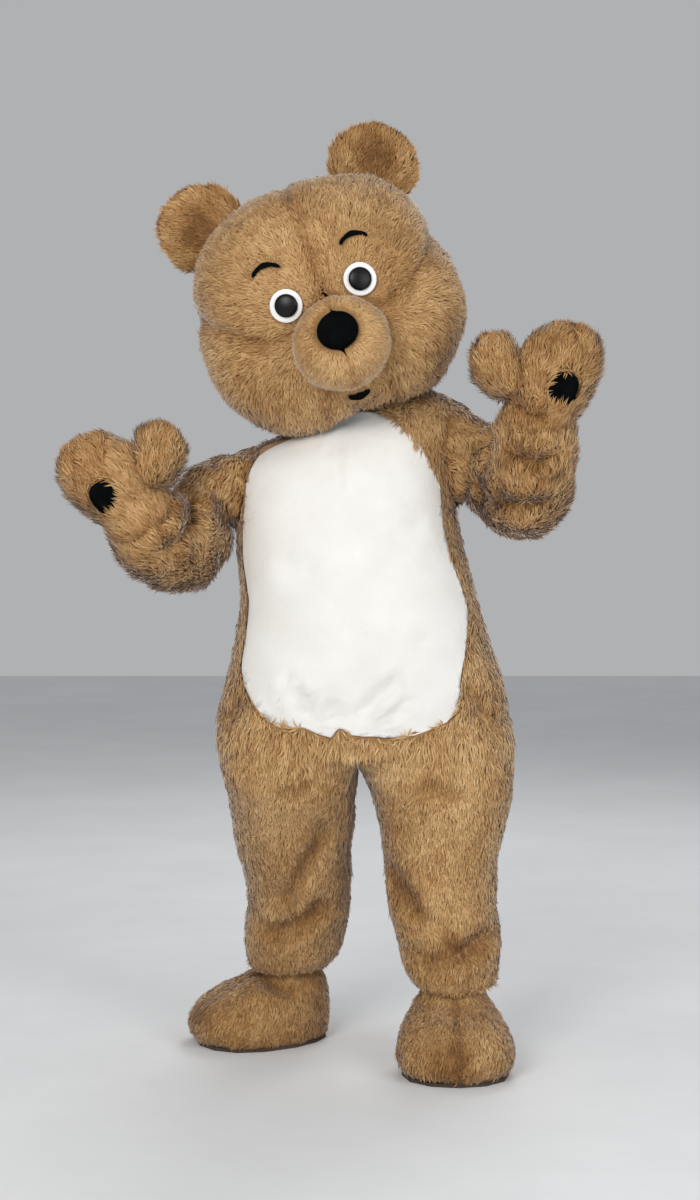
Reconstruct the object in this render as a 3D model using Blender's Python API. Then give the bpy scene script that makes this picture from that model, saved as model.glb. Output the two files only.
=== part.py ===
"""Bear mascot costume: the sewn pieces of a fur suit, mitts, boot covers and head, as worn.

Sides are the wearer's own. Heights are above the floor; the empty "costume" then lowers everything,
so that the world origin is the middle of the wearer's shoulders, where the suit hangs.
Lengths are metres, +Z is up and the costume faces -Y.
"""
import math

import bmesh
import bpy
import numpy as np
from mathutils import Matrix, Vector

# ---------------------------------------------------------------- driving sizes
HOLD_HEIGHT = 1.32      # shoulders above the floor
SEAM_GAP = 0.0003       # between two pieces that are sewn together
FUR_CLOTH = 0.004       # knit backing with its dense underfur
PLUSH_CLOTH = 0.003     # the short plush of the belly
VELVET = 0.003          # pads and brows
FACE_PILE = 0.0003      # lift of what lies on a panel
OUTLINE_STEPS = 2       # straight steps between two points of a trimmed outline

COLLECTION = "bear_mascot_costume"

# Columns: base colour, roughness
FINISHES = {
    "fur": ((0.46, 0.27, 0.12, 1.0), 0.95),
    "plush": ((0.86, 0.84, 0.79, 1.0), 0.9),
    "velvet": ((0.006, 0.007, 0.009, 1.0), 0.85),
    "eye_felt": ((0.88, 0.88, 0.88, 1.0), 0.7),
    "pupil": ((0.01, 0.01, 0.012, 1.0), 0.15),
    "sole": ((0.10, 0.07, 0.05, 1.0), 0.9),
}


# ---------------------------------------------------------------- scene and materials
def clear_scene():
    for item in list(bpy.data.objects):
        bpy.data.objects.remove(item, do_unlink=True)


def make_material(name):
    colour, roughness = FINISHES[name]
    material = bpy.data.materials.new(name)
    material.use_nodes = True
    shader = material.node_tree.nodes["Principled BSDF"]
    shader.inputs["Base Color"].default_value = colour
    shader.inputs["Roughness"].default_value = roughness
    shader.inputs["Metallic"].default_value = 0.0
    return material


clear_scene()
collection = bpy.data.collections.new(COLLECTION)
bpy.context.scene.collection.children.link(collection)
cutters = bpy.data.collections.new("cutters")
bpy.context.scene.collection.children.link(cutters)
costume = bpy.data.objects.new("costume", None)
costume.location = (0.0, 0.0, -HOLD_HEIGHT)
collection.objects.link(costume)
finish = {name: make_material(name) for name in FINISHES}


def add_object(name, mesh, material, parent=costume):
    item = bpy.data.objects.new(name, mesh)
    item.data.materials.append(finish[material])
    item.parent = parent
    collection.objects.link(item)
    return item


# ---------------------------------------------------------------- small geometry helpers
def unit(vectors):
    vectors = np.asarray(vectors, dtype=float)
    length = np.linalg.norm(vectors, axis=-1, keepdims=True)
    return vectors / np.maximum(length, 1e-12)


def power(value, exponent):
    """A signed power, for superellipses."""
    return math.copysign(abs(value) ** exponent, value)


def smooth_row(table, place):
    """Reads a table at a place in its first column, on a smooth curve through its rows."""
    table = np.asarray(table, dtype=float)
    keys = table[:, 0]
    place = min(max(place, keys[0]), keys[-1])
    right = min(max(int(np.searchsorted(keys, place)), 1), len(keys) - 1)
    left = right - 1
    span = keys[right] - keys[left]
    share = (place - keys[left]) / span

    def slope(row):
        before = max(row - 1, 0)
        after = min(row + 1, len(keys) - 1)
        return (table[after] - table[before]) / (keys[after] - keys[before])

    s2 = share * share
    s3 = s2 * share
    start = (2 * s3 - 3 * s2 + 1) * table[left] + (s3 - 2 * s2 + share) * span * slope(left)
    end = (3 * s2 - 2 * s3) * table[right] + (s3 - s2) * span * slope(right)
    return start + end


def grid_normals(points, closed=False):
    """Outward normals of a grid [row][column]: across the columns, then along the rows."""
    across = np.gradient(points, axis=1)
    along = np.gradient(points, axis=0)
    if closed:
        wrapped = points[:, -2] - points[:, 0]
        turn = (points[:, 1] - points[:, 0] - wrapped) / 2
        across[:, 0] = turn
        across[:, -1] = turn
    return unit(np.cross(across, along))


def inset_edges(points, edges):
    """Draws the named edges of a grid back by half a seam gap, inside its surface."""
    moved = points.copy()
    sides = {
        "first": (np.s_[0, :], points[1] - points[0]),
        "last": (np.s_[-1, :], points[-2] - points[-1]),
        "left": (np.s_[:, 0], points[:, 1] - points[:, 0]),
        "right": (np.s_[:, -1], points[:, -2] - points[:, -1]),
    }
    for edge in edges:
        where, inward = sides[edge]
        along = unit(np.gradient(points[where], axis=0))
        inward = unit(inward - along * np.sum(inward * along, axis=-1, keepdims=True))
        moved[where] += inward * SEAM_GAP / 2
    return moved


ALL_EDGES = ("first", "last", "left", "right")


def wall(name, points, normals, thickness, material, lift=0.0, edges=ALL_EDGES, parent=costume):
    """A piece of cloth: a grid of outer points, given a thickness inwards and closed at its edges."""
    outer = inset_edges(points, edges) + normals * lift
    inner = outer - normals * thickness
    rows, columns = points.shape[:2]
    bm = bmesh.new()
    bmesh.ops.create_grid(bm, x_segments=columns - 1, y_segments=rows - 1, size=1.0)
    bm.verts.sort(key=lambda vert: 1000 * vert.co.y + vert.co.x)
    bm.verts.ensure_lookup_table()
    sheet = list(bm.verts)
    bmesh.ops.triangulate(bm, faces=list(bm.faces), quad_method="FIXED")
    made = bmesh.ops.extrude_face_region(bm, geom=list(bm.faces), use_keep_orig=True)
    backs = [item for item in made["geom"] if isinstance(item, bmesh.types.BMVert)]
    backs.sort(key=lambda vert: 1000 * vert.co.y + vert.co.x)
    for vert, place in zip(sheet, outer.reshape(-1, 3)):
        vert.co = place
    for vert, place in zip(backs, inner.reshape(-1, 3)):
        vert.co = place
    bmesh.ops.recalc_face_normals(bm, faces=list(bm.faces))
    if bm.calc_volume(signed=True) < 0:
        bmesh.ops.reverse_faces(bm, faces=list(bm.faces))
    mesh = bpy.data.meshes.new(name)
    bm.to_mesh(mesh)
    bm.free()
    return add_object(name, mesh, material, parent)


def cap(name, front_rings, front_tip, back_rings, back_tip, material, parent=costume):
    """A closed pad: rings that narrow to a tip in front, and rings that narrow to a tip behind."""
    bm = bmesh.new()
    loops = [[bm.verts.new(place) for place in ring] for ring in list(back_rings[::-1]) + list(front_rings)]
    for low, high in zip(loops, loops[1:]):
        for i in range(len(low)):
            j = (i + 1) % len(low)
            bm.faces.new((low[i], low[j], high[j], high[i]))
    for loop, tip in ((loops[0], back_tip), (loops[-1], front_tip)):
        point = bm.verts.new(tip)
        for i in range(len(loop)):
            bm.faces.new((loop[i], loop[(i + 1) % len(loop)], point))
    bmesh.ops.recalc_face_normals(bm, faces=list(bm.faces))
    if bm.calc_volume(signed=True) < 0:
        bmesh.ops.reverse_faces(bm, faces=list(bm.faces))
    mesh = bpy.data.meshes.new(name)
    bm.to_mesh(mesh)
    bm.free()
    return add_object(name, mesh, material, parent)


def trim_to_outline(item, outline, facing, depth):
    """Keeps of a laid-on panel what lies inside a closed smooth outline, looked at along facing."""
    curve = bpy.data.curves.new(item.name + "_outline", "CURVE")
    curve.dimensions = "2D"
    curve.fill_mode = "BOTH"
    curve.extrude = depth / 2
    curve.resolution_u = OUTLINE_STEPS
    spline = curve.splines.new("BEZIER")
    spline.bezier_points.add(len(outline) - 1)
    spline.use_cyclic_u = True
    for knot, (across, up) in zip(spline.bezier_points, outline):
        knot.co = (across, up, 0.0)
        knot.handle_left_type = "AUTO"
        knot.handle_right_type = "AUTO"
    drawn = bpy.data.objects.new(item.name + "_outline", curve)
    cutters.objects.link(drawn)
    bpy.context.view_layer.update()
    mesh = bpy.data.meshes.new_from_object(drawn.evaluated_get(bpy.context.evaluated_depsgraph_get()))
    bpy.data.objects.remove(drawn, do_unlink=True)
    bm = bmesh.new()
    bm.from_mesh(mesh)
    bmesh.ops.remove_doubles(bm, verts=list(bm.verts), dist=0.00001)
    bmesh.ops.recalc_face_normals(bm, faces=list(bm.faces))
    bm.to_mesh(mesh)
    bm.free()
    cutter = bpy.data.objects.new(item.name + "_cutter", mesh)
    cutter.parent = item.parent
    cutter.matrix_local = facing
    cutter.hide_render = True
    cutter.hide_viewport = False
    cutter.display_type = "WIRE"
    cutters.objects.link(cutter)
    trim = item.modifiers.new("trim", "BOOLEAN")
    trim.operation = "INTERSECT"
    trim.object = cutter
    return item


# ---------------------------------------------------------------- suit body
BODY_POWER = 2.3        # squareness of the body's sections
HIP_HEIGHT = 0.672
ARMHOLE_LOW = 1.140
ARMHOLE_HIGH = 1.310
ARMHOLE_TURN = math.radians(26)     # half of the armhole's width, round the body
ARMHOLE_STEPS = 6
FRONT_COLUMNS = 12

# Columns: height, middle across, middle in depth, half width, front depth, back depth, tilt in degrees
BODY = (
    (0.672, 0.018, 0.020, 0.296, 0.190, 0.185, 0.0),
    (0.710, 0.026, 0.020, 0.302, 0.198, 0.198, 0.0),
    (0.795, 0.032, 0.015, 0.284, 0.208, 0.200, 0.0),
    (0.878, 0.024, 0.010, 0.257, 0.206, 0.190, 0.0),
    (0.961, 0.020, 0.005, 0.240, 0.200, 0.178, 1.0),
    (1.044, 0.004, 0.000, 0.230, 0.190, 0.168, 3.0),
    (1.127, -0.008, 0.000, 0.225, 0.180, 0.165, 5.0),
    (1.210, -0.010, 0.000, 0.222, 0.168, 0.162, 7.0),
    (1.270, -0.008, 0.000, 0.216, 0.146, 0.150, 10.0),
    (1.316, 0.006, 0.004, 0.180, 0.112, 0.116, 12.0),
    (1.331, 0.014, 0.008, 0.132, 0.092, 0.096, 13.0),
    (1.352, 0.022, 0.010, 0.098, 0.080, 0.084, 14.0),
)
BODY_ROWS_BELOW = (0.672, 0.725, 0.795, 0.865, 0.94, 1.015, 1.085)
BODY_ROWS_ABOVE = (1.331, 1.352)
NORMAL_REACH = 0.008     # how far up and down a normal is measured over


def body_point(turn, height):
    """A point of the body's outer face; turn is 0 at +X, -90 degrees at the front."""
    _, x, y, wide, front, back, tilt = smooth_row(BODY, height)
    depth = front if math.sin(turn) < 0 else back
    across = wide * power(math.cos(turn), 2 / BODY_POWER)
    tilt = math.radians(tilt)
    return (
        x + across * math.cos(tilt),
        y + depth * power(math.sin(turn), 2 / BODY_POWER),
        height + across * math.sin(tilt),
    )


armhole_middle = (ARMHOLE_LOW + ARMHOLE_HIGH) / 2
armhole_half = (ARMHOLE_HIGH - ARMHOLE_LOW) / 2
armhole_rows = [
    armhole_middle - armhole_half * math.cos(math.pi * k / ARMHOLE_STEPS)
    for k in range(ARMHOLE_STEPS + 1)
]
body_rows = list(BODY_ROWS_BELOW) + armhole_rows + list(BODY_ROWS_ABOVE)
FIRST_ARM_ROW = len(BODY_ROWS_BELOW)


def armhole_inset(row):
    """How far round the body a panel's side edge is cut back at a row."""
    step = row - FIRST_ARM_ROW
    if step < 0 or step > ARMHOLE_STEPS:
        return 0.0
    return ARMHOLE_TURN * math.sin(math.pi * step / ARMHOLE_STEPS)


def body_grid(start, end, columns, start_cut, end_cut):
    """Rows of points between two turns; each end is cut back at the armhole by its share."""
    grid = []
    for row, height in enumerate(body_rows):
        inset = armhole_inset(row)
        low = start + inset * start_cut
        high = end - inset * end_cut
        grid.append([body_point(low + (high - low) * c / columns, height) for c in range(columns + 1)])
    return np.array(grid)


def body_normals(points, start, end, columns, start_cut, end_cut):
    """Normals read from the smooth body itself, so that neighbouring panels agree."""
    normals = np.zeros_like(points)
    small = 0.001
    for row, height in enumerate(body_rows):
        inset = armhole_inset(row)
        low = start + inset * start_cut
        high = end - inset * end_cut
        for c in range(columns + 1):
            turn = low + (high - low) * c / columns
            centre = round(turn / (math.pi / 2)) * math.pi / 2
            if abs(turn - centre) < 2 * small:
                turn_low, turn_high = turn - 0.03, turn + 0.03
            else:
                turn_low, turn_high = turn - small, turn + small
            around = np.subtract(body_point(turn_high, height), body_point(turn_low, height))
            top = min(height + NORMAL_REACH, BODY[-1][0])
            bottom = max(height - NORMAL_REACH, BODY[0][0])
            up = np.subtract(body_point(turn, top), body_point(turn, bottom))
            normals[row, c] = np.cross(around, up)
    return unit(normals)


# ---------------------------------------------------------------- tubes of cloth
def frames_along(path, first_up):
    """A direction, an up vector and a side vector at each point of a path, without twist."""
    path = np.asarray(path, dtype=float)
    heading = unit(np.gradient(path, axis=0))
    ups = []
    up = np.asarray(first_up, dtype=float)
    for direction in heading:
        up = unit(up - direction * np.dot(up, direction))
        ups.append(up)
    ups = np.array(ups)
    return heading, ups, np.cross(heading, ups)


def bent_path(start, corner, end, radius, steps):
    """Points of a path through a rounded corner."""
    start, corner, end = (np.asarray(place, dtype=float) for place in (start, corner, end))
    into = unit(corner - start)
    out = unit(end - corner)
    bend = math.acos(float(np.clip(np.dot(into, out), -1, 1)))
    reach = radius * math.tan(bend / 2)
    begin = corner - into * reach
    pivot_way = unit(out - into)
    pivot = corner + pivot_way * radius / math.cos(bend / 2)
    spoke = begin - pivot
    axis = unit(np.cross(into, out))
    points = [start] if np.dot(begin - start, into) > 0.02 else []
    for k in range(steps + 1):
        turned = Matrix.Rotation(bend * k / steps, 3, Vector(axis)) @ Vector(spoke)
        points.append(pivot + np.array(turned))
    last = points[-1]
    points += [last + (end - last) * 0.5, end] if np.linalg.norm(end - last) > 0.04 else [end]
    return np.array(points)


SLEEVE_AROUND = 2 * ARMHOLE_STEPS
ELBOW_STEPS = 4
PUFF_ALL_ROUND = 0.012   # the sleeve stands off the body all round its armhole

# Columns: shoulder, elbow corner, wrist (each x, y, z), bend radius, shoulder bulge
ARMS = {
    "right": ((-0.307, -0.020, 1.155), (-0.322, -0.100, 0.985), (-0.412, -0.185, 1.135), 0.088, 0.046),
    "left": ((0.288, -0.045, 1.240), (0.372, -0.165, 1.062), (0.366, -0.225, 1.325), 0.088, 0.036),
}
# Columns: share of the sleeve's length, half width across the arm, half width front to back, fold
SLEEVE_SECTIONS = (
    (0.00, 0.056, 0.092, 0.000),
    (0.18, 0.066, 0.090, 0.003),
    (0.34, 0.074, 0.086, -0.003),
    (0.50, 0.077, 0.084, 0.003),
    (0.66, 0.077, 0.082, -0.003),
    (0.82, 0.077, 0.080, 0.003),
    (1.00, 0.072, 0.074, 0.000),
)


def armhole_loop(side):
    """Points and body normals round an armhole: underarm, front, top, back and underarm again."""
    middle = 0.0 if side == "left" else math.pi
    toward_front = -1.0 if side == "left" else 1.0
    places = []
    for step in range(2 * ARMHOLE_STEPS + 1):
        row = step if step <= ARMHOLE_STEPS else 2 * ARMHOLE_STEPS - step
        way = toward_front if step <= ARMHOLE_STEPS else -toward_front
        inset = ARMHOLE_TURN * math.sin(math.pi * row / ARMHOLE_STEPS)
        places.append((middle + way * inset, armhole_rows[row]))
    return np.array([body_point(turn, height) for turn, height in places])


def sleeve_grid(side):
    """The sleeve's rings of points, from the armhole loop to the hem."""
    shoulder, corner, wrist, radius, bulge = ARMS[side]
    path = bent_path(shoulder, corner, wrist, radius, ELBOW_STEPS)
    outward = 1.0 if side == "left" else -1.0
    heading, ups, sides = frames_along(path, (outward, 0.0, 0.35))
    lengths = np.concatenate(([0.0], np.cumsum(np.linalg.norm(np.diff(path, axis=0), axis=1))))
    rings = [armhole_loop(side)]
    fronts = sides if sides[0][1] < 0 else -sides
    for place, up, front, length in zip(path, ups, fronts, lengths / lengths[-1]):
        _, high, deep, fold = smooth_row(SLEEVE_SECTIONS, length)
        ring = []
        for k in range(SLEEVE_AROUND + 1):
            angle = 2 * math.pi * k / SLEEVE_AROUND
            ring.append(place - up * (high + fold) * math.cos(angle)
                        + front * (deep + fold) * math.sin(angle))
        rings.append(np.array(ring))
    between = (rings[0] + rings[1]) / 2
    puff = unit(np.array([outward, 0.0, 0.5]))
    for k in range(SLEEVE_AROUND + 1):
        between[k] += puff * (PUFF_ALL_ROUND + bulge * (1 - math.cos(2 * math.pi * k / SLEEVE_AROUND)) / 2)
    return np.array([rings[0], between] + rings[1:])


def outward_normals(points):
    """Normals of a closed tube of rings, turned to face away from its middle."""
    normals = grid_normals(points, closed=True)
    middle = points[:, :-1].mean(axis=1, keepdims=True)
    facing = np.sum(normals * (points - middle))
    return normals if facing > 0 else -normals


# ---------------------------------------------------------------- build the suit
QUARTER = math.pi / 2
front_grid = body_grid(-math.pi, 0.0, FRONT_COLUMNS, 1, 1)
front_normals = body_normals(front_grid, -math.pi, 0.0, FRONT_COLUMNS, 1, 1)
back_left_grid = body_grid(0.0, QUARTER, FRONT_COLUMNS // 2, 1, 0)
back_left_normals = body_normals(back_left_grid, 0.0, QUARTER, FRONT_COLUMNS // 2, 1, 0)
back_right_grid = body_grid(QUARTER, math.pi, FRONT_COLUMNS // 2, 0, 1)
back_right_normals = body_normals(back_right_grid, QUARTER, math.pi, FRONT_COLUMNS // 2, 0, 1)

sleeves = {side: sleeve_grid(side) for side in ARMS}
sleeve_normals = {side: outward_normals(grid) for side, grid in sleeves.items()}


def join_armhole(side):
    """Gives the body panels and the sleeve one shared direction along the armhole seam."""
    loop = sleeve_normals[side][0]
    for step in range(2 * ARMHOLE_STEPS + 1):
        row = step if step <= ARMHOLE_STEPS else 2 * ARMHOLE_STEPS - step
        at_front = step <= ARMHOLE_STEPS
        at_back = step >= ARMHOLE_STEPS or step == 0
        back = back_left_normals if side == "left" else back_right_normals
        front_place = (FIRST_ARM_ROW + row, -1 if side == "left" else 0)
        back_place = (FIRST_ARM_ROW + row, 0 if side == "left" else -1)
        body = front_normals[front_place] if at_front else back[back_place]
        shared = unit(loop[step] + body)
        loop[step] = shared
        if at_front:
            front_normals[front_place] = shared
        if at_back:
            back[back_place] = shared


chest_normals = front_normals.copy()
for side in ARMS:
    join_armhole(side)

wall("body_front", front_grid, front_normals, FUR_CLOTH, "fur")
wall("body_back_left", back_left_grid, back_left_normals, FUR_CLOTH, "fur")
wall("body_back_right", back_right_grid, back_right_normals, FUR_CLOTH, "fur")
for side in ARMS:
    wall("sleeve_" + side, sleeves[side], sleeve_normals[side], FUR_CLOTH, "fur")

# Outline of the belly panel, seen from the front. Columns: across, height
BELLY = (
    (0.000, 1.352), (0.085, 1.336), (0.125, 1.300), (0.160, 1.255), (0.182, 1.205), (0.190, 1.120),
    (0.210, 1.040), (0.236, 0.965), (0.238, 0.895), (0.222, 0.810), (0.218, 0.745), (0.166, 0.712),
    (0.090, 0.694), (0.048, 0.698), (0.000, 0.701), (-0.022, 0.716), (-0.038, 0.694), (-0.098, 0.716),
    (-0.120, 0.710), (-0.160, 0.722), (-0.200, 0.765), (-0.222, 0.825), (-0.212, 0.890), (-0.206, 0.965),
    (-0.218, 1.040), (-0.215, 1.150), (-0.205, 1.225), (-0.175, 1.275), (-0.135, 1.305), (-0.070, 1.335),
)
FACE_FRONT = Matrix(((1, 0, 0, 0), (0, 0, 1, -0.22), (0, 1, 0, 0), (0, 0, 0, 1)))
belly = wall("belly_panel", front_grid, chest_normals, PLUSH_CLOTH, "plush",
             lift=FACE_PILE + PLUSH_CLOTH)
trim_to_outline(belly, BELLY, FACE_FRONT, 0.40)


# ---------------------------------------------------------------- legs
CROTCH_STEPS = 6
CROTCH_DIP = 0.050
LEG_ANGLES = [22.5 * k for k in range(7)] + [150.0, 165.0, 180.0]
MIDDLE_PLANE = 0.014

# Columns: height, middle across, middle in depth, half width, half depth, squareness, front droop
LEGS = {
    "left": (
        (0.615, 0.1795, 0.015, 0.1555, 0.178, 2.8, 0.0),
        (0.565, 0.1930, 0.010, 0.1480, 0.168, 2.5, 0.0),
        (0.500, 0.1950, 0.004, 0.1300, 0.150, 2.2, 0.0),
        (0.420, 0.1855, -0.010, 0.1135, 0.130, 2.1, 0.0),
        (0.325, 0.1940, -0.024, 0.1105, 0.118, 2.0, 0.0),
        (0.270, 0.2030, -0.030, 0.1060, 0.114, 2.0, 0.005),
        (0.205, 0.2100, -0.035, 0.0985, 0.106, 2.0, 0.012),
        (0.172, 0.2180, -0.038, 0.0840, 0.090, 2.0, 0.010),
        (0.180, 0.2200, -0.040, 0.0690, 0.072, 2.0, 0.0),
    ),
    "right": (
        (0.615, -0.1290, 0.022, 0.1410, 0.176, 2.8, 0.0),
        (0.565, -0.1210, 0.032, 0.1310, 0.166, 2.5, 0.0),
        (0.500, -0.1220, 0.055, 0.1250, 0.148, 2.2, 0.0),
        (0.420, -0.1180, 0.085, 0.1170, 0.130, 2.1, 0.0),
        (0.318, -0.1060, 0.125, 0.1020, 0.114, 2.0, 0.0),
        (0.262, -0.1160, 0.150, 0.1080, 0.112, 2.0, 0.005),
        (0.200, -0.1230, 0.170, 0.1005, 0.106, 2.0, 0.012),
        (0.165, -0.1330, 0.184, 0.0850, 0.092, 2.0, 0.010),
        (0.174, -0.1400, 0.190, 0.0690, 0.072, 2.0, 0.0),
    ),
}


def hip_loop(side):
    """The leg's top edge: half the hip, then the crotch seam. Outseam, front, inseam, back, outseam."""
    half = FRONT_COLUMNS // 2
    if side == "left":
        front = [front_grid[0, -1 - k] for k in range(half + 1)]
        back = [back_left_grid[0, k] for k in range(half + 1)]
    else:
        front = [front_grid[0, k] for k in range(half + 1)]
        back = [back_right_grid[0, -1 - k] for k in range(half + 1)]
    crotch = []
    for k in range(1, CROTCH_STEPS):
        share = k / CROTCH_STEPS
        place = front[-1] * (1 - share) + back[-1] * share
        place[0] += (MIDDLE_PLANE - place[0]) * math.sin(math.pi * share)
        place[2] -= CROTCH_DIP * math.sin(math.pi * share) ** 0.7
        crotch.append(place)
    return np.array(front + crotch + back[::-1])


def leg_grid(side):
    outward = 1.0 if side == "left" else -1.0
    rings = [hip_loop(side)]
    angles = LEG_ANGLES + [-angle for angle in LEG_ANGLES[-2::-1]]
    for height, x, y, wide, deep, squareness, droop in LEGS[side]:
        ring = []
        for angle in angles:
            cosine = power(math.cos(math.radians(angle)), 2 / squareness)
            sine = power(math.sin(math.radians(angle)), 2 / squareness)
            ring.append((x + outward * wide * cosine, y - deep * sine, height - droop * sine))
        rings.append(np.array(ring))
    return np.array(rings)


legs = {side: leg_grid(side) for side in LEGS}
leg_normals = {side: outward_normals(grid) for side, grid in legs.items()}


def join_hip(side):
    """Body and legs share one direction along the hip seam, and the legs along the crotch seam."""
    half = FRONT_COLUMNS // 2
    loop = leg_normals[side][0]
    last = len(loop) - 1
    back = back_left_normals if side == "left" else back_right_normals
    for k in range(half + 1):
        front_place = (0, -1 - k) if side == "left" else (0, k)
        back_place = (0, k) if side == "left" else (0, -1 - k)
        loop[k] = front_normals[front_place]
        loop[last - k] = back[back_place]
    for k in range(half + 1, last - half):
        loop[k] = unit(loop[k] * 0.5 + (0.0, 0.0, -1.0))
    leg_normals[side][-1] = unit(leg_normals[side][-2] * (1, 1, 1) + (0.0, 0.0, -1.0))


for side in LEGS:
    join_hip(side)
    middle = len(LEG_ANGLES) - 1
    wall("leg_" + side + "_front", legs[side][:, :middle + 1], leg_normals[side][:, :middle + 1],
         FUR_CLOTH, "fur")
    wall("leg_" + side + "_back", legs[side][:, middle:], leg_normals[side][:, middle:], FUR_CLOTH, "fur")


# ---------------------------------------------------------------- mitts
MITT_AROUND = SLEEVE_AROUND
GRIP_GAP = 0.0004       # between a hem and what it grips
THUMB_STEPS = 4
THUMB_TURN = math.radians(48)
THUMB_FIRST_ROW = 3
TIP_HALF_THICKNESS = 0.004

# Columns: mitt's axis (x, y, z), way to the thumb (x, y, z)
MITTS = {
    "right": ((-0.60, -0.12, 0.79), (0.80, -0.10, 0.60)),
    "left": ((0.30, -0.10, 0.95), (-0.95, -0.05, 0.30)),
}
# Columns: distance past the sleeve's hem, half width, half thickness, drift to the thumb side
MITT_SECTIONS = (
    (0.031, 0.065, 0.059, 0.000),
    (0.037, 0.068, 0.060, 0.001),
    (0.046, 0.072, 0.060, 0.002),
    (0.066, 0.077, 0.060, 0.001),
    (0.088, 0.080, 0.059, -0.002),
    (0.099, 0.080, 0.058, -0.004),
    (0.134, 0.076, 0.055, -0.010),
    (0.166, 0.064, 0.046, -0.015),
    (0.190, 0.042, 0.026, -0.018),
    (0.198, 0.020, TIP_HALF_THICKNESS, -0.018),
)
# Columns: distance out from the mitt's side, distance toward the fingertips, turn toward them in
# degrees, half width, half thickness
THUMB_SECTIONS = (
    (0.031, 0.002, 12.0, 0.027, 0.042),
    (0.044, 0.016, 42.0, 0.034, 0.034),
    (0.056, 0.036, 56.0, 0.029, 0.027),
    (0.063, 0.052, 62.0, 0.012, 0.006),
)


def mitt_frame(side):
    axis, thumb = (unit(np.array(way)) for way in MITTS[side])
    thumb = unit(thumb - axis * np.dot(thumb, axis))
    palm = np.cross(axis, thumb)
    if palm[1] > 0:
        palm = -palm
    return axis, thumb, palm


def hem_inside(grid, normals, row, clearance):
    """Points just inside a tube's ring, where a shaft or gauntlet lies against it."""
    return grid[row] - normals[row] * (FUR_CLOTH + clearance)


def mitt_grid(side):
    """Rings of the mitt: thumb seam, palm, far seam, back and thumb seam again."""
    axis, thumb, palm = mitt_frame(side)
    sleeve = sleeves[side]
    rings = []
    for row, share in ((-2, 0.35), (-1, 0.0)):
        ring = hem_inside(sleeve, sleeve_normals[side], row, GRIP_GAP)[:-1]
        if share:
            hem = hem_inside(sleeve, sleeve_normals[side], -1, GRIP_GAP)[:-1]
            ring = ring * share + hem * (1 - share)
        middle = ring.mean(axis=0)
        order = list(range(MITT_AROUND))
        start = max(order, key=lambda k: np.dot(ring[k] - middle, thumb))
        quarter = (start + MITT_AROUND // 4) % MITT_AROUND
        step = 1 if np.dot(ring[quarter] - middle, palm) > 0 else -1
        rings.append(np.array([ring[(start + step * k) % MITT_AROUND] for k in range(MITT_AROUND + 1)]))
    hem_middle = rings[-1][:-1].mean(axis=0)
    for distance, wide, thick, drift in MITT_SECTIONS:
        ring = []
        for k in range(MITT_AROUND + 1):
            angle = 2 * math.pi * k / MITT_AROUND
            ring.append(hem_middle + axis * distance + thumb * (wide * math.cos(angle) + drift)
                        + palm * thick * math.sin(angle))
        rings.append(np.array(ring))
    return np.array(rings)


def cut_side_hole(grid, first_row, steps, turn):
    """Slides a tube's columns back from its first seam, to leave a hole round that seam."""
    cut = grid.copy()
    columns = grid.shape[1] - 1
    for step in range(steps + 1):
        row = first_row + step
        inset = turn * math.sin(math.pi * step / steps) / math.pi
        half = columns // 2
        for k in range(columns + 1):
            share = k / half if k <= half else (columns - k) / half
            moved = (inset + share * (1 - inset)) * half
            low = int(min(math.floor(moved), half - 1))
            part = moved - low
            if k <= half:
                cut[row, k] = grid[row, low] * (1 - part) + grid[row, low + 1] * part
            else:
                cut[row, k] = grid[row, columns - low] * (1 - part) + grid[row, columns - low - 1] * part
    return cut


def thumb_grid(side, mitt):
    """The thumb's rings, from the hole in the mitt's side to its tip."""
    axis, thumb, palm = mitt_frame(side)
    rows = range(THUMB_FIRST_ROW, THUMB_FIRST_ROW + THUMB_STEPS + 1)
    palm_side = [mitt[row, 0] for row in rows]
    back_side = [mitt[row, -1] for row in rows]
    loop = np.array(palm_side + back_side[-2::-1])
    middle = loop[:-1].mean(axis=0)
    rings = [loop]
    around = len(loop) - 1
    for out, along, turn, wide, thick in THUMB_SECTIONS:
        turn = math.radians(turn)
        across = axis * math.cos(turn) - thumb * math.sin(turn)
        ring = []
        for k in range(around + 1):
            angle = 2 * math.pi * k / around
            ring.append(middle + thumb * out + axis * along - across * wide * math.cos(angle)
                        + palm * thick * math.sin(angle))
        rings.append(np.array(ring))
    return np.array(rings)


# Middle and outline of the palm pads, along the mitt and toward the thumb
PAD_MIDDLE = (0.081, -0.024)
PAD_CUT_DEPTH = 0.115
PAD_OUTLINE = ((-0.040, 0.000), (-0.026, -0.024), (0.006, -0.032), (0.030, -0.022),
               (0.036, 0.006), (0.022, 0.030), (-0.010, 0.030), (-0.032, 0.020))

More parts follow.
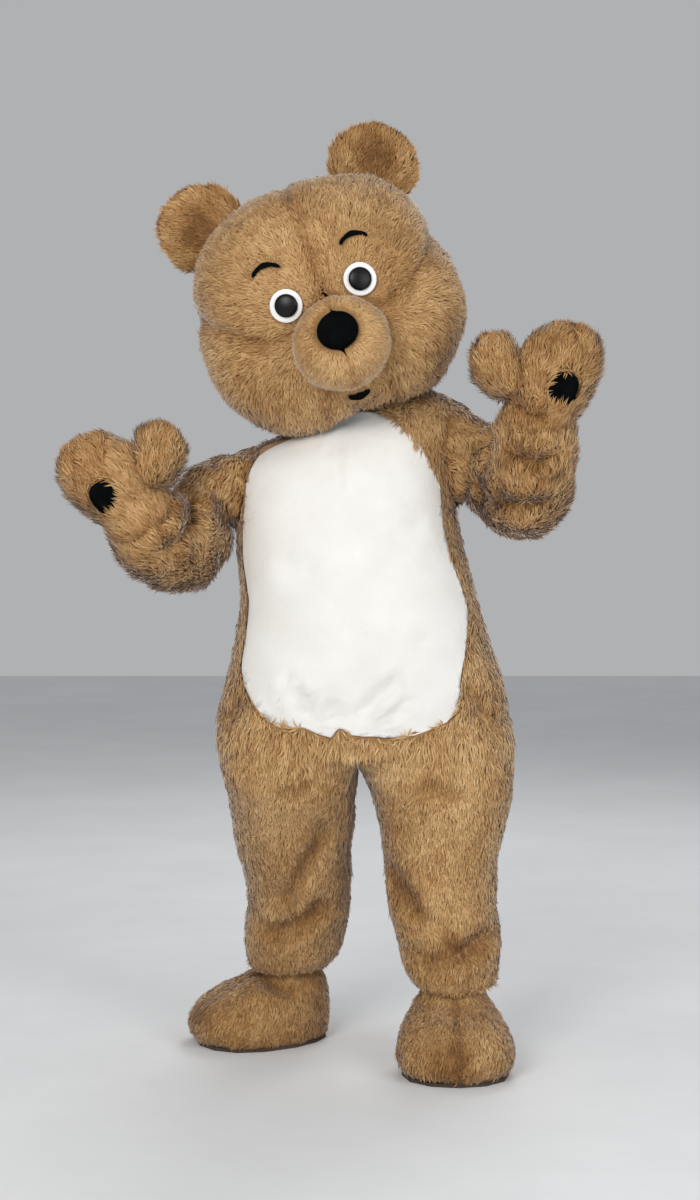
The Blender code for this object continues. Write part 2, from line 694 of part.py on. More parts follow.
for side in MITTS:
    whole = mitt_grid(side)
    smooth = outward_normals(whole)
    mitt = cut_side_hole(whole, THUMB_FIRST_ROW, THUMB_STEPS, THUMB_TURN)
    normals = cut_side_hole(smooth, THUMB_FIRST_ROW, THUMB_STEPS, THUMB_TURN)
    normals = unit(normals)
    axis, thumb_way, palm_way = mitt_frame(side)
    palm_normals = normals.copy()
    normals[-1] = unit(normals[-1] * 0.2 + axis)
    thumb = thumb_grid(side, mitt)
    thumb_normals = outward_normals(thumb)
    rows = list(range(THUMB_FIRST_ROW, THUMB_FIRST_ROW + THUMB_STEPS + 1))
    for k, row in enumerate(rows + rows[-2::-1]):
        column = 0 if k <= THUMB_STEPS else -1
        shared = unit(thumb_normals[0, k] + normals[row, column])
        thumb_normals[0, k] = shared
        normals[row, column] = shared
    for row in (rows[0], rows[-1]):
        normals[row, -1] = normals[row, 0]
    thumb_normals[0, -1] = thumb_normals[0, 0]
    thumb_normals[-1] = unit(thumb_normals[-1] * 0.2 + unit(thumb_way + axis))
    half = MITT_AROUND // 2
    wall("mitt_" + side + "_palm", mitt[:, :half + 1], normals[:, :half + 1], FUR_CLOTH, "fur")
    wall("mitt_" + side + "_back", mitt[:, half:], normals[:, half:], FUR_CLOTH, "fur")
    wall("mitt_" + side + "_thumb", thumb, thumb_normals, FUR_CLOTH, "fur")
    pad = wall("mitt_" + side + "_pad", mitt[3:-2, :half + 1], palm_normals[3:-2, :half + 1], VELVET,
               "velvet", lift=FACE_PILE + VELVET, edges=())
    middle = whole[1, :-1].mean(axis=0) + axis * PAD_MIDDLE[0] + thumb_way * PAD_MIDDLE[1]
    ways = Matrix((axis, thumb_way, np.cross(axis, thumb_way))).transposed()
    facing = Matrix.Translation(middle + palm_way * PAD_CUT_DEPTH / 2) @ ways.to_4x4()
    trim_to_outline(pad, PAD_OUTLINE, facing, PAD_CUT_DEPTH)


# ---------------------------------------------------------------- boot covers
SOLE = 0.0067
BOOT_COLUMNS = 7        # columns of each half, from the toe seam to the heel seam

# Columns: way to the toe (x, y)
BOOTS = {"left": (0.02, -1.0), "right": (-0.92, -0.40)}
# Columns: height, reach of the heel, reach of the toe, half width, extra width at the toe
BOOT_SECTIONS = (
    (0.007, 0.084, 0.206, 0.108, 0.20),
    (0.040, 0.092, 0.226, 0.119, 0.22),
    (0.078, 0.090, 0.214, 0.115, 0.20),
    (0.108, 0.086, 0.172, 0.098, 0.14),
    (0.130, 0.080, 0.112, 0.080, 0.06),
    (0.146, 0.072, 0.078, 0.069, 0.00),
)
SHAFT_EASE = 0.0005     # the shaft is this much smaller than the hem that grips it
SHAFT_ABOVE = 0.055     # how far the shaft goes on inside the leg


def boot_grid(side):
    """Rings of the boot cover: toe seam, outer side, heel seam, inner side and toe seam again."""
    way = unit(np.array((*BOOTS[side], 0.0)))
    across = np.array((way[1], -way[0], 0.0))
    hem = legs[side][-1] - leg_normals_flat(side) * GRIP_GAP
    middle = hem[:-1].mean(axis=0)
    ankle = np.array((middle[0], middle[1], 0.0))
    rings = []
    for height, heel, toe, wide, extra in BOOT_SECTIONS:
        ring = []
        for k in range(2 * BOOT_COLUMNS + 1):
            angle = math.pi * k / BOOT_COLUMNS
            along = (toe - heel) / 2 + (toe + heel) / 2 * power(math.cos(angle), 0.9)
            side_way = wide * math.sin(angle) * (1 + extra * math.cos(angle))
            ring.append(ankle + way * along + across * side_way + np.array((0.0, 0.0, height)))
        rings.append(np.array(ring))
    shaft = hem[:-1]
    spokes = shaft - middle
    for rise in (-0.014, SHAFT_ABOVE):
        ring = []
        for k in range(2 * BOOT_COLUMNS + 1):
            angle = math.pi * k / BOOT_COLUMNS
            aim = way * math.cos(angle) + across * math.sin(angle)
            reach = least_radius(spokes) - SHAFT_EASE
            place = ankle + aim * reach
            ring.append(place + np.array((0.0, 0.0, middle[2] + 0.002 + rise)))
        rings.append(np.array(ring))
    return np.array(rings)


def leg_normals_flat(side):
    """Directions straight out of a leg's hem, level with the floor."""
    hem = legs[side][-1]
    middle = hem[:-1].mean(axis=0)
    spokes = hem - middle
    spokes[:, 2] = 0.0
    return unit(spokes)


def least_radius(spokes):
    """The smallest level distance from the middle to a ring's straight sides."""
    flat = spokes[:, :2]
    following = np.roll(flat, -1, axis=0)
    edge = unit(following - flat)
    share = np.abs(flat[:, 0] * edge[:, 1] - flat[:, 1] * edge[:, 0])
    return float(share.min())


def sole_plate(name, outline):
    """A flat sole under the boot's lowest ring."""
    bm = bmesh.new()
    base = [bm.verts.new((x, y, 0.0)) for x, y, _ in outline]
    bm.faces.new(base)
    bmesh.ops.recalc_face_normals(bm, faces=list(bm.faces))
    made = bmesh.ops.extrude_face_region(bm, geom=list(bm.faces), use_keep_orig=True)
    tops = [item for item in made["geom"] if isinstance(item, bmesh.types.BMVert)]
    bmesh.ops.translate(bm, verts=tops, vec=(0.0, 0.0, SOLE))
    bmesh.ops.recalc_face_normals(bm, faces=list(bm.faces))
    mesh = bpy.data.meshes.new(name)
    bm.to_mesh(mesh)
    bm.free()
    return add_object(name, mesh, "sole")


boots = {side: boot_grid(side) for side in BOOTS}
for side, boot in boots.items():
    normals = outward_normals(boot)
    normals[0] = unit(normals[0] * (1.0, 1.0, 0.0))
    for half, columns in (("outer", np.s_[:, :BOOT_COLUMNS + 1]), ("inner", np.s_[:, BOOT_COLUMNS:])):
        wall("boot_" + side + "_" + half, boot[columns], normals[columns], FUR_CLOTH, "fur")
    sole_plate("boot_" + side + "_sole", boot[0][:-1])


# ---------------------------------------------------------------- head
HEAD_PLACE = (-0.050, -0.012, 1.5714)
HEAD_ROLL = math.radians(-20)
HEAD_HALF = (0.255, 0.228, 0.250)   # half width, half depth, half height
HEAD_POWER = 2.55
SMALL_TURN = 0.002

head = bpy.data.objects.new("head", None)
head.location = HEAD_PLACE
head.rotation_euler = (0.0, HEAD_ROLL, 0.0)
head.parent = costume
collection.objects.link(head)

# Soft bulges and dips of the head. Columns: turn to the side, turn up, reach across, reach up, height
HEAD_RELIEF = (
    (42.0, -32.0, 30.0, 24.0, 0.016),
    (-42.0, -32.0, 30.0, 24.0, 0.016),
    (0.0, -44.0, 20.0, 12.0, 0.014),
    (26.0, 14.0, 34.0, 15.0, 0.008),
    (-26.0, 14.0, 34.0, 15.0, 0.008),
    (52.0, 3.0, 24.0, 6.0, -0.014),
    (-52.0, 3.0, 24.0, 6.0, -0.014),
    (78.0, 12.0, 20.0, 6.0, -0.012),
    (-78.0, 12.0, 20.0, 6.0, -0.012),
)


def aim(side_turn, up_turn):
    """A direction from the head's middle; both turns in degrees, 0 and 0 straight ahead."""
    side_turn, up_turn = math.radians(side_turn), math.radians(up_turn)
    return np.array((
        math.sin(side_turn) * math.cos(up_turn),
        -math.cos(side_turn) * math.cos(up_turn),
        math.sin(up_turn),
    ))


def head_point(direction, lift=0.0):
    """The head's outer face along a direction from its middle."""
    direction = unit(direction)
    inside = sum(abs(part / half) ** HEAD_POWER for part, half in zip(direction, HEAD_HALF))
    reach = inside ** (-1 / HEAD_POWER)
    up_turn = math.degrees(math.asin(float(np.clip(direction[2], -1, 1))))
    side_turn = math.degrees(math.atan2(direction[0], -direction[1]))
    for side, up, wide, high, height in HEAD_RELIEF:
        away = ((side_turn - side) / wide) ** 2 + ((up_turn - up) / high) ** 2
        reach += height * math.exp(-away)
    return direction * (reach + lift)


def head_normal(direction):
    direction = unit(direction)
    side = unit(np.cross(direction, (0.0, 0.3, 1.0)))
    up = np.cross(side, direction)
    across = head_point(direction + side * SMALL_TURN) - head_point(direction - side * SMALL_TURN)
    along = head_point(direction + up * SMALL_TURN) - head_point(direction - up * SMALL_TURN)
    normal = unit(np.cross(across, along))
    return normal if np.dot(normal, direction) > 0 else -normal


def head_curve(knots, steps):
    """Directions along a smooth line through knots, each a pair of turns."""
    spots = np.array([(k, *aim(*knot)) for k, knot in enumerate(knots)])
    places = np.linspace(0, len(knots) - 1, steps + 1)
    return np.array([unit(smooth_row(spots, place)[1:]) for place in places])


def head_patch(near, far, left, right):
    """A grid of directions filled in between four shared edges; near and far run left to right."""
    rows, columns = len(left) - 1, len(near) - 1
    grid = np.zeros((rows + 1, columns + 1, 3))
    for r in range(rows + 1):
        v = r / rows
        for c in range(columns + 1):
            u = c / columns
            ruled = near[c] * (1 - v) + far[c] * v + left[r] * (1 - u) + right[r] * u
            corners = (near[0] * (1 - u) + near[-1] * u) * (1 - v) + (far[0] * (1 - u) + far[-1] * u) * v
            grid[r, c] = unit(ruled - corners)
    return grid


def head_panel(directions):
    points = np.array([[head_point(way) for way in row] for row in directions])
    normals = np.array([[head_normal(way) for way in row] for row in directions])
    return points, normals


def head_wall(name, directions):
    points, normals = head_panel(directions)
    wall(name, points, normals, FUR_CLOTH, "fur", parent=head)
    return points, normals


BROW_STEPS = 6
CROWN_STEPS = 6
CHEEK_STEPS = 4
CHIN_STEPS = 2
NECK_TURN = -57.0       # how far down the head its neck opening is cut

BROW_SEAM = ((0, -5), (18, -12), (32, -11), (48, -2), (62, 5), (78, 12), (92, 16))
FOREHEAD_SEAM = ((0, -5), (0, 25), (0, 60), (180, 84), (180, 50))
EAR_SEAM = ((92, 16), (104, 32), (114, 50))
NAPE_SEAM = ((180, 50), (150, 56), (114, 50))
SIDE_SEAM = ((92, 16), (92, -20), (90, NECK_TURN))
BACK_SEAM = ((180, 50), (180, 0), (180, NECK_TURN))
NOSE_LINE = ((0, -5), (0, -27))
CHIN_SEAM = ((0, -27), (16, -37), (30, NECK_TURN))


def mirrored(knots, side):
    flip = 1.0 if side == "left" else -1.0
    return [(flip * turn, up) if turn != 180 else (turn, up) for turn, up in knots]


crowns = {}
for side in ("left", "right"):
    brow = head_curve(mirrored(BROW_SEAM, side), BROW_STEPS)
    forehead = head_curve(FOREHEAD_SEAM, CROWN_STEPS)
    ear_seam = head_curve(mirrored(EAR_SEAM, side), CROWN_STEPS)
    nape = head_curve(mirrored(NAPE_SEAM, side), BROW_STEPS)
    side_seam = head_curve(mirrored(SIDE_SEAM, side), CHEEK_STEPS)
    back_seam = head_curve(BACK_SEAM, CROWN_STEPS + CHEEK_STEPS)
    neck_back = head_curve(mirrored(((180, NECK_TURN), (135, NECK_TURN), (90, NECK_TURN)), side), BROW_STEPS)
    neck_front = head_curve(mirrored(((30, NECK_TURN), (60, NECK_TURN), (90, NECK_TURN)), side), BROW_STEPS)
    inner = np.concatenate((
        head_curve(NOSE_LINE, 1)[:-1],
        head_curve(mirrored(CHIN_SEAM[:2], side), 1)[:-1],
        head_curve(mirrored(CHIN_SEAM[1:], side), CHIN_STEPS),
    ))
    crowns[side] = head_wall("head_crown_" + side, head_patch(brow, nape, forehead, ear_seam))
    outer_line = np.concatenate((ear_seam[::-1], side_seam[1:]))
    head_wall("head_back_" + side, head_patch(nape, neck_back, back_seam, outer_line))
    head_wall("head_cheek_" + side, head_patch(brow, neck_front, inner, side_seam))

chin_top = np.concatenate((
    head_curve(mirrored(CHIN_SEAM[:2], "right"), 1)[::-1],
    head_curve(mirrored(CHIN_SEAM[:2], "left"), 1)[1:],
))
chin_low = head_curve(((-30, NECK_TURN), (0, NECK_TURN), (30, NECK_TURN)), 2)
chin = head_wall("head_chin", head_patch(
    chin_top, chin_low,
    head_curve(mirrored(CHIN_SEAM[1:], "right"), CHIN_STEPS),
    head_curve(mirrored(CHIN_SEAM[1:], "left"), CHIN_STEPS),
))


# ---------------------------------------------------------------- face and ears
MUZZLE_AROUND = 12
MUZZLE_HEIGHT = -0.098      # middle of the muzzle, from the head's middle
# Columns: how far forward of the head's middle, drop from the muzzle's middle, half width, half height
MUZZLE_SECTIONS = (
    (0.232, 0.000, 0.094, 0.088),
    (0.270, 0.000, 0.096, 0.090),
    (0.304, 0.004, 0.086, 0.082),
    (0.326, 0.012, 0.064, 0.064),
    (0.334, 0.022, 0.043, 0.039),
)
MUZZLE_BASE = (0.088, 0.083)
# The stuffed nose. Columns: forward of the nose's seam, share of the seam's size
NOSE_SECTIONS = ((0.014, 0.94), (0.026, 0.66))
NOSE_TIP = 0.031
NOSE_BACK = -0.010


def oval(middle_height, forward, wide, high, clockwise=1):
    ring = []
    for k in range(MUZZLE_AROUND + 1):
        angle = math.pi / 2 + clockwise * 2 * math.pi * k / MUZZLE_AROUND
        ring.append((wide * math.cos(angle), -forward, middle_height + high * math.sin(angle)))
    return np.array(ring)


def on_head(ring, lift):
    """Ring points carried straight toward the head's middle, to lie on its face."""
    return np.array([head_point(place, lift) for place in ring])


muzzle_rings = [on_head(oval(MUZZLE_HEIGHT, 0.2, *MUZZLE_BASE), FACE_PILE)]
for forward, rise, wide, high in MUZZLE_SECTIONS:
    muzzle_rings.append(oval(MUZZLE_HEIGHT + rise, forward, wide, high))
muzzle = np.array(muzzle_rings)
muzzle_normals = outward_normals(muzzle)
muzzle_normals[-1] = unit(muzzle_normals[-1] * 0.3 + (0.0, -1.0, 0.0))
for place, direction in zip(muzzle[0], muzzle_normals[0]):
    rest = head_normal(place)
    direction -= rest * np.dot(direction, rest)
muzzle_normals[0] = unit(muzzle_normals[0])
half_way = MUZZLE_AROUND // 2
wall("muzzle_right", muzzle[:, :half_way + 1], muzzle_normals[:, :half_way + 1], FUR_CLOTH, "fur",
     edges=("left", "right", "last"), parent=head)
wall("muzzle_left", muzzle[:, half_way:], muzzle_normals[:, half_way:], FUR_CLOTH, "fur",
     edges=("left", "right", "last"), parent=head)


def resized(ring, share, forward):
    middle = ring.mean(axis=0)
    return middle + (ring - middle) * share + np.array((0.0, -forward, 0.0))


seam = resized(muzzle[-1][:-1], 0.985, 0.0)
nose_fronts = [seam] + [resized(seam, share, forward) for forward, share in NOSE_SECTIONS]
nose_tip = seam.mean(axis=0) + (0.0, -NOSE_TIP, 0.0)
nose_backs = [resized(seam, 0.90, NOSE_BACK)]
cap("nose", nose_fronts, nose_tip, nose_backs, nose_backs[0].mean(axis=0), "velvet", parent=head)

EYE_FELT = 0.007
PUPIL = 0.005
EYE_PLACE = (0.077, 0.008)          # across and up from the head's middle
EYE_RADIUS = 0.034
PUPIL_RADIUS = 0.021
BROW_PLACE = (0.092, 0.098)
BROW_HALF_WIDTH = 0.031
MOUTH_HEIGHT = -0.208
FACE_CUT_DEPTH = 0.16


def face_view(across, up):
    """Looks at the face from the front, with its origin at a place on the face."""
    return Matrix(((1, 0, 0, across), (0, 0, 1, -0.20), (0, 1, 0, up), (0, 0, 0, 1)))


def circle(radius, knots=8):
    turns = [2 * math.pi * k / knots for k in range(knots)]
    return [(radius * math.cos(turn), radius * math.sin(turn)) for turn in turns]


def crescent(half_width, rise, thick, knots=4):
    """A closed outline of an arc that is thickest at its middle."""
    shares = [2 * k / knots - 1 for k in range(knots + 1)]
    upper = [(half_width * share, thick * (1 - share ** 2) - rise * share ** 2) for share in shares]
    lower = [(x, y - 1.6 * thick * (1 - (x / half_width) ** 2)) for x, y in upper[-2:0:-1]]
    return upper + lower


def laid_on(name, panel, outline, place, thick, lift, material):
    """A flat piece made from a panel's own points, moved out, and trimmed to its outline."""
    points, normals = panel
    piece = wall(name, points, normals, thick, material, lift=lift + thick, edges=(), parent=head)
    trim_to_outline(piece, outline, face_view(*place), FACE_CUT_DEPTH)


for side, flip in (("left", 1), ("right", -1)):
    eye = (flip * EYE_PLACE[0], EYE_PLACE[1])
    laid_on("eye_" + side + "_white", crowns[side], circle(EYE_RADIUS), eye, EYE_FELT, FACE_PILE, "eye_felt")
    laid_on("eye_" + side + "_pupil", crowns[side], circle(PUPIL_RADIUS), eye, PUPIL,
            FACE_PILE + EYE_FELT + SEAM_GAP, "pupil")
    laid_on("brow_" + side, crowns[side], crescent(BROW_HALF_WIDTH, 0.014, 0.007),
            (flip * BROW_PLACE[0], BROW_PLACE[1]), VELVET, FACE_PILE, "velvet")
laid_on("mouth", chin, crescent(0.024, -0.008, 0.008), (0.0, MOUTH_HEIGHT), VELVET, FACE_PILE, "velvet")

EAR_AROUND = 8
EAR_LEAN = 39.0         # degrees from straight up
EAR_FORWARD = -0.02
EAR_CUP = 0.020
EAR_LIFT = 0.0025       # the ear's edge stands on the head's flat facets
# Columns: distance from the head's middle, half width, half thickness
EAR_SECTIONS = (
    (0.262, 0.070, 0.027),
    (0.292, 0.081, 0.025),
    (0.322, 0.081, 0.024),
    (0.350, 0.066, 0.021),
    (0.368, 0.042, 0.014),
    (0.376, 0.020, 0.004),
)
for side, flip in (("left", 1), ("right", -1)):
    lean = math.radians(EAR_LEAN) * flip
    up = np.array((math.sin(lean), EAR_FORWARD, math.cos(lean)))
    across = np.array((math.cos(lean), 0.0, -math.sin(lean)))
    rings = []
    for level, (distance, wide, thick) in enumerate(EAR_SECTIONS):
        ring = []
        for k in range(EAR_AROUND + 1):
            angle = 2 * math.pi * k / EAR_AROUND
            cup = EAR_CUP * (math.sin(angle) ** 2 - 0.5) * min(level / 2, 1.0) * min((5 - level) / 2, 1.0)
            place = up * distance + across * wide * math.cos(angle)
            place = place + np.array((0.0, cup - thick * math.sin(angle), 0.0))
            ring.append(place if level else head_point(place, EAR_LIFT))
        rings.append(np.array(ring))
    ear = np.array(rings)
    normals = outward_normals(ear)
    for k in range(EAR_AROUND + 1):
        rest = head_normal(ear[0, k])
        normals[0, k] -= rest * np.dot(normals[0, k], rest)
    normals[0] = unit(normals[0])
    normals[-1] = unit(normals[-1] * 0.2 + up)
    half = EAR_AROUND // 2
    for name, columns in (("front", np.s_[:, :half + 1]), ("back", np.s_[:, half:])):
        wall("ear_" + side + "_" + name, ear[columns], normals[columns], FUR_CLOTH, "fur",
             edges=("left", "right", "last"), parent=head)
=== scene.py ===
import math

import bmesh
import bpy
import numpy as np
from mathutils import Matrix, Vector
from mathutils.bvhtree import BVHTree
from mathutils.kdtree import KDTree


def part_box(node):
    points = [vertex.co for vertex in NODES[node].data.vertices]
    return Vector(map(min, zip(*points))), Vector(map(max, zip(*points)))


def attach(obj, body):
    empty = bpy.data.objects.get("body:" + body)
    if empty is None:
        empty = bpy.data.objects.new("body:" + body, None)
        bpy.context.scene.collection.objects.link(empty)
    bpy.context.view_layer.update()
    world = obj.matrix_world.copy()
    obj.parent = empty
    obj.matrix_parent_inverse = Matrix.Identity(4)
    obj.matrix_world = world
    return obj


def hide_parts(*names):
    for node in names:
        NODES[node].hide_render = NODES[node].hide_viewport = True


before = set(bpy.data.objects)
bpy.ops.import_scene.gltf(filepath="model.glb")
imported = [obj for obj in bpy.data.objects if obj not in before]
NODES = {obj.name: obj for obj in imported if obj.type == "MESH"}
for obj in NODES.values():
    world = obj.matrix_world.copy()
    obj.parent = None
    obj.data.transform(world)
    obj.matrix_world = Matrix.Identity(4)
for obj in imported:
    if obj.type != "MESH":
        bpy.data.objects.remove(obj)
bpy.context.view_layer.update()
FLOOR_HEIGHT = -1.32
SIDES = ("left", "right")
TINY = 1e-12


def object_of(name, data):
    """A new object in the scene that holds a mesh, a light or a camera."""
    item = bpy.data.objects.new(name, data)
    bpy.context.scene.collection.objects.link(item)
    return item


# ---------------------------------------------------------------- camera, light and floor
CAMERA_PLACE = (0.0, -5.0, -0.07)
CAMERA_TILT = math.radians(86.7)
CAMERA_LENS = 72.45
CAMERA_SENSOR = 36.0

camera_data = bpy.data.cameras.new("camera")
camera_data.lens = CAMERA_LENS
camera_data.sensor_width = CAMERA_SENSOR
camera_data.sensor_fit = "VERTICAL"
camera_data.sensor_height = CAMERA_SENSOR
camera = object_of("camera", camera_data)
camera.location = CAMERA_PLACE
camera.rotation_euler = (CAMERA_TILT, 0.0, 0.0)
bpy.context.scene.camera = camera


# Columns: name, place, aim, side of the square, watts, colour
LIGHTS = (
    ("key_light", (-1.5, -4.2, 1.3), (0.0, 0.0, -0.35), 1.8, 118.0, (1.0, 0.97, 0.93)),
    ("fill_light", (2.6, -3.2, 0.6), (0.0, 0.0, -0.4), 2.4, 56.0, (0.95, 0.97, 1.0)),
    ("back_light", (0.8, 3.0, 2.2), (0.0, 0.0, -0.2), 2.0, 60.0, (1.0, 1.0, 1.0)),
)
STUDIO_COLOUR = (0.86, 0.88, 0.90, 1.0)
STUDIO_STRENGTH = 0.50


def area_light(name, place, aim, side, watts, colour):
    data = bpy.data.lights.new(name, "AREA")
    data.shape = "SQUARE"
    data.size = side
    data.energy = watts
    data.color = colour
    lamp = object_of(name, data)
    lamp.location = place
    lamp.rotation_euler = (Vector(aim) - Vector(place)).to_track_quat("-Z", "Y").to_euler()


for row in LIGHTS:
    area_light(*row)

world = bpy.data.worlds.new("studio")
world.use_nodes = True
background = world.node_tree.nodes["Background"]
background.inputs["Color"].default_value = STUDIO_COLOUR
background.inputs["Strength"].default_value = STUDIO_STRENGTH
bpy.context.scene.world = world
bpy.context.scene.view_settings.view_transform = "Standard"


# ---------------------------------------------------------------- materials
def new_material(name):
    material = bpy.data.materials.new(name)
    material.use_nodes = True
    return material, material.node_tree.nodes["Principled BSDF"]


def ramp(node, stops):
    """Sets a colour ramp from (place, colour) rows."""
    elements = node.color_ramp.elements
    while len(elements) < len(stops):
        elements.new(0.5)
    for element, (place, colour) in zip(elements, stops):
        element.position = place
        element.color = (*colour, 1.0)


# Columns: tone of a lock, colour
PILE_TONES = (
    (0.0, (0.180, 0.078, 0.020)),
    (0.3, (0.370, 0.193, 0.066)),
    (0.6, (0.565, 0.350, 0.155)),
    (1.0, (0.800, 0.570, 0.310)),
)
# Columns: place along a lock from root to tip, share of its colour: painted shade deep in the pile at
# the root, painted light at the tip
PAINTED_PILE_SHADE = (
    (0.0, (0.66, 0.60, 0.54)),
    (0.35, (0.86, 0.83, 0.79)),
    (0.75, (1.0, 0.99, 0.97)),
    (1.0, (1.15, 1.14, 1.12)),
)
MAP_NAME = "OFBake"
PILE_ROUGHNESS = 0.72
PILE_GLOSS = 0.25
PILE_SHEEN = 0.50
PILE_SHEEN_ROUGHNESS = 0.45


def pile_material(name, tones, shade):
    """Fur pile: the map's u is the lock's tone and its v runs from root to tip, which darkens the root
    as painted shade and lightens the tip as painted light.
    """
    material, shader = new_material(name)
    tree = material.node_tree
    places = tree.nodes.new("ShaderNodeUVMap")
    places.uv_map = MAP_NAME
    split = tree.nodes.new("ShaderNodeSeparateXYZ")
    tone = tree.nodes.new("ShaderNodeValToRGB")
    along = tree.nodes.new("ShaderNodeValToRGB")
    ramp(tone, tones)
    # painted shade towards a lock's root and painted light at its tip
    ramp(along, shade)
    mix = tree.nodes.new("ShaderNodeMix")
    mix.data_type = "RGBA"
    mix.blend_type = "MULTIPLY"
    mix.inputs["Factor"].default_value = 1.0
    tree.links.new(places.outputs["UV"], split.inputs[0])
    tree.links.new(split.outputs["X"], tone.inputs["Fac"])
    tree.links.new(split.outputs["Y"], along.inputs["Fac"])
    tree.links.new(tone.outputs["Color"], mix.inputs["A"])
    tree.links.new(along.outputs["Color"], mix.inputs["B"])
    tree.links.new(mix.outputs["Result"], shader.inputs["Base Color"])
    shader.inputs["Roughness"].default_value = PILE_ROUGHNESS
    shader.inputs["Specular IOR Level"].default_value = PILE_GLOSS
    shader.inputs["Sheen Weight"].default_value = PILE_SHEEN
    shader.inputs["Sheen Roughness"].default_value = PILE_SHEEN_ROUGHNESS
    return material


NAP_DETAIL = 4.0
NAP_ROUGHNESS = 0.65
PATCH_DETAIL = 3.0
NAP_RANGE = (0.7, 1.3)  # sums of the two noises that give the dark and the light colour
NAP_STRENGTH = 0.8
CLOTH_SHEEN_ROUGHNESS = 0.4


def nap_group():
    """A shared node group: colour and bump of a cloth with a nap, in the object's own coordinates."""
    group = bpy.data.node_groups.new("cloth_nap", "ShaderNodeTree")
    face = group.interface
    for socket in ("Dark", "Light"):
        face.new_socket(name=socket, in_out="INPUT", socket_type="NodeSocketColor")
    for socket in ("Nap Scale", "Patch Scale", "Depth"):
        face.new_socket(name=socket, in_out="INPUT", socket_type="NodeSocketFloat")
    face.new_socket(name="Color", in_out="OUTPUT", socket_type="NodeSocketColor")
    face.new_socket(name="Normal", in_out="OUTPUT", socket_type="NodeSocketVector")
    start = group.nodes.new("NodeGroupInput")
    end = group.nodes.new("NodeGroupOutput")
    place = group.nodes.new("ShaderNodeTexCoord")
    nap = group.nodes.new("ShaderNodeTexNoise")
    nap.inputs["Detail"].default_value = NAP_DETAIL
    nap.inputs["Roughness"].default_value = NAP_ROUGHNESS
    patch = group.nodes.new("ShaderNodeTexNoise")
    patch.inputs["Detail"].default_value = PATCH_DETAIL
    total = group.nodes.new("ShaderNodeMath")
    total.operation = "ADD"
    share = group.nodes.new("ShaderNodeMapRange")
    share.inputs["From Min"].default_value = NAP_RANGE[0]
    share.inputs["From Max"].default_value = NAP_RANGE[1]
    mix = group.nodes.new("ShaderNodeMix")
    mix.data_type = "RGBA"
    bump = group.nodes.new("ShaderNodeBump")
    bump.inputs["Strength"].default_value = NAP_STRENGTH
    link = group.links.new
    link(place.outputs["Object"], nap.inputs["Vector"])
    link(place.outputs["Object"], patch.inputs["Vector"])
    link(start.outputs["Nap Scale"], nap.inputs["Scale"])
    link(start.outputs["Patch Scale"], patch.inputs["Scale"])
    link(nap.outputs["Fac"], total.inputs[0])
    link(patch.outputs["Fac"], total.inputs[1])
    link(total.outputs[0], share.inputs["Value"])
    link(share.outputs["Result"], mix.inputs["Factor"])
    link(start.outputs["Dark"], mix.inputs["A"])
    link(start.outputs["Light"], mix.inputs["B"])
    link(nap.outputs["Fac"], bump.inputs["Height"])
    link(start.outputs["Depth"], bump.inputs["Distance"])
    link(mix.outputs["Result"], end.inputs["Color"])
    link(bump.outputs["Normal"], end.inputs["Normal"])
    return group


NAP = nap_group()


def cloth_material(name, dark, light, nap_scale, patch_scale, depth, roughness, sheen, gloss):
    """A woven, rubber or vinyl finish: two colours in patches under a fine nap."""
    material, shader = new_material(name)
    tree = material.node_tree
    nap = tree.nodes.new("ShaderNodeGroup")
    nap.node_tree = NAP
    nap.inputs["Dark"].default_value = (*dark, 1.0)
    nap.inputs["Light"].default_value = (*light, 1.0)
    nap.inputs["Nap Scale"].default_value = nap_scale
    nap.inputs["Patch Scale"].default_value = patch_scale
    nap.inputs["Depth"].default_value = depth
    tree.links.new(nap.outputs["Color"], shader.inputs["Base Color"])
    tree.links.new(nap.outputs["Normal"], shader.inputs["Normal"])
    shader.inputs["Roughness"].default_value = roughness
    shader.inputs["Specular IOR Level"].default_value = gloss
    shader.inputs["Sheen Weight"].default_value = sheen
    shader.inputs["Sheen Roughness"].default_value = CLOTH_SHEEN_ROUGHNESS
    return material


# Columns: finish, material, dark colour, light colour,
#          nap scale, patch scale, nap depth, roughness, sheen, gloss
CLOTHS = (
    ("fur_cloth", "fur_backing", (0.26, 0.135, 0.050), (0.44, 0.26, 0.115),
     420, 22, 0.003, 0.95, 0.2, 0.2),
    ("plush", "belly_plush", (0.755, 0.74, 0.70), (0.83, 0.82, 0.79),
     650, 14, 0.0012, 0.9, 0.35, 0.2),
    ("velvet", "black_velvet", (0.0015, 0.0020, 0.0022), (0.0045, 0.0054, 0.0058),
     900, 30, 0.0005, 1.0, 0.0, 0.01),
    ("eye_felt", "white_felt", (0.80, 0.80, 0.79), (0.93, 0.93, 0.92),
     900, 40, 0.0003, 0.8, 0.15, 0.2),
    ("pupil", "black_vinyl", (0.002, 0.002, 0.003), (0.005, 0.005, 0.006),
     300, 20, 0.00005, 0.35, 0.0, 0.25),
    ("sole", "sole_rubber", (0.045, 0.032, 0.024), (0.085, 0.062, 0.048),
     260, 12, 0.0006, 0.8, 0.0, 0.2),
    ("floor", "pale_floor", (0.70, 0.71, 0.72), (0.76, 0.77, 0.78),
     3, 1, 0.0002, 0.85, 0.0, 0.2),
)
MATERIALS = {"fur": pile_material("fur_pile", PILE_TONES, PAINTED_PILE_SHADE)}
for finish, *row in CLOTHS:
    MATERIALS[finish] = cloth_material(*row)

FLOOR_REACH = 9.0       # from the floor's middle to its side
floor_mesh = bpy.data.meshes.new("floor")
bm = bmesh.new()
bmesh.ops.create_grid(bm, x_segments=1, y_segments=1, size=FLOOR_REACH)
bm.to_mesh(floor_mesh)
bm.free()
floor = object_of("floor", floor_mesh)
floor.location = (0.0, 0.0, FLOOR_HEIGHT)
floor_mesh.materials.append(MATERIALS["floor"])


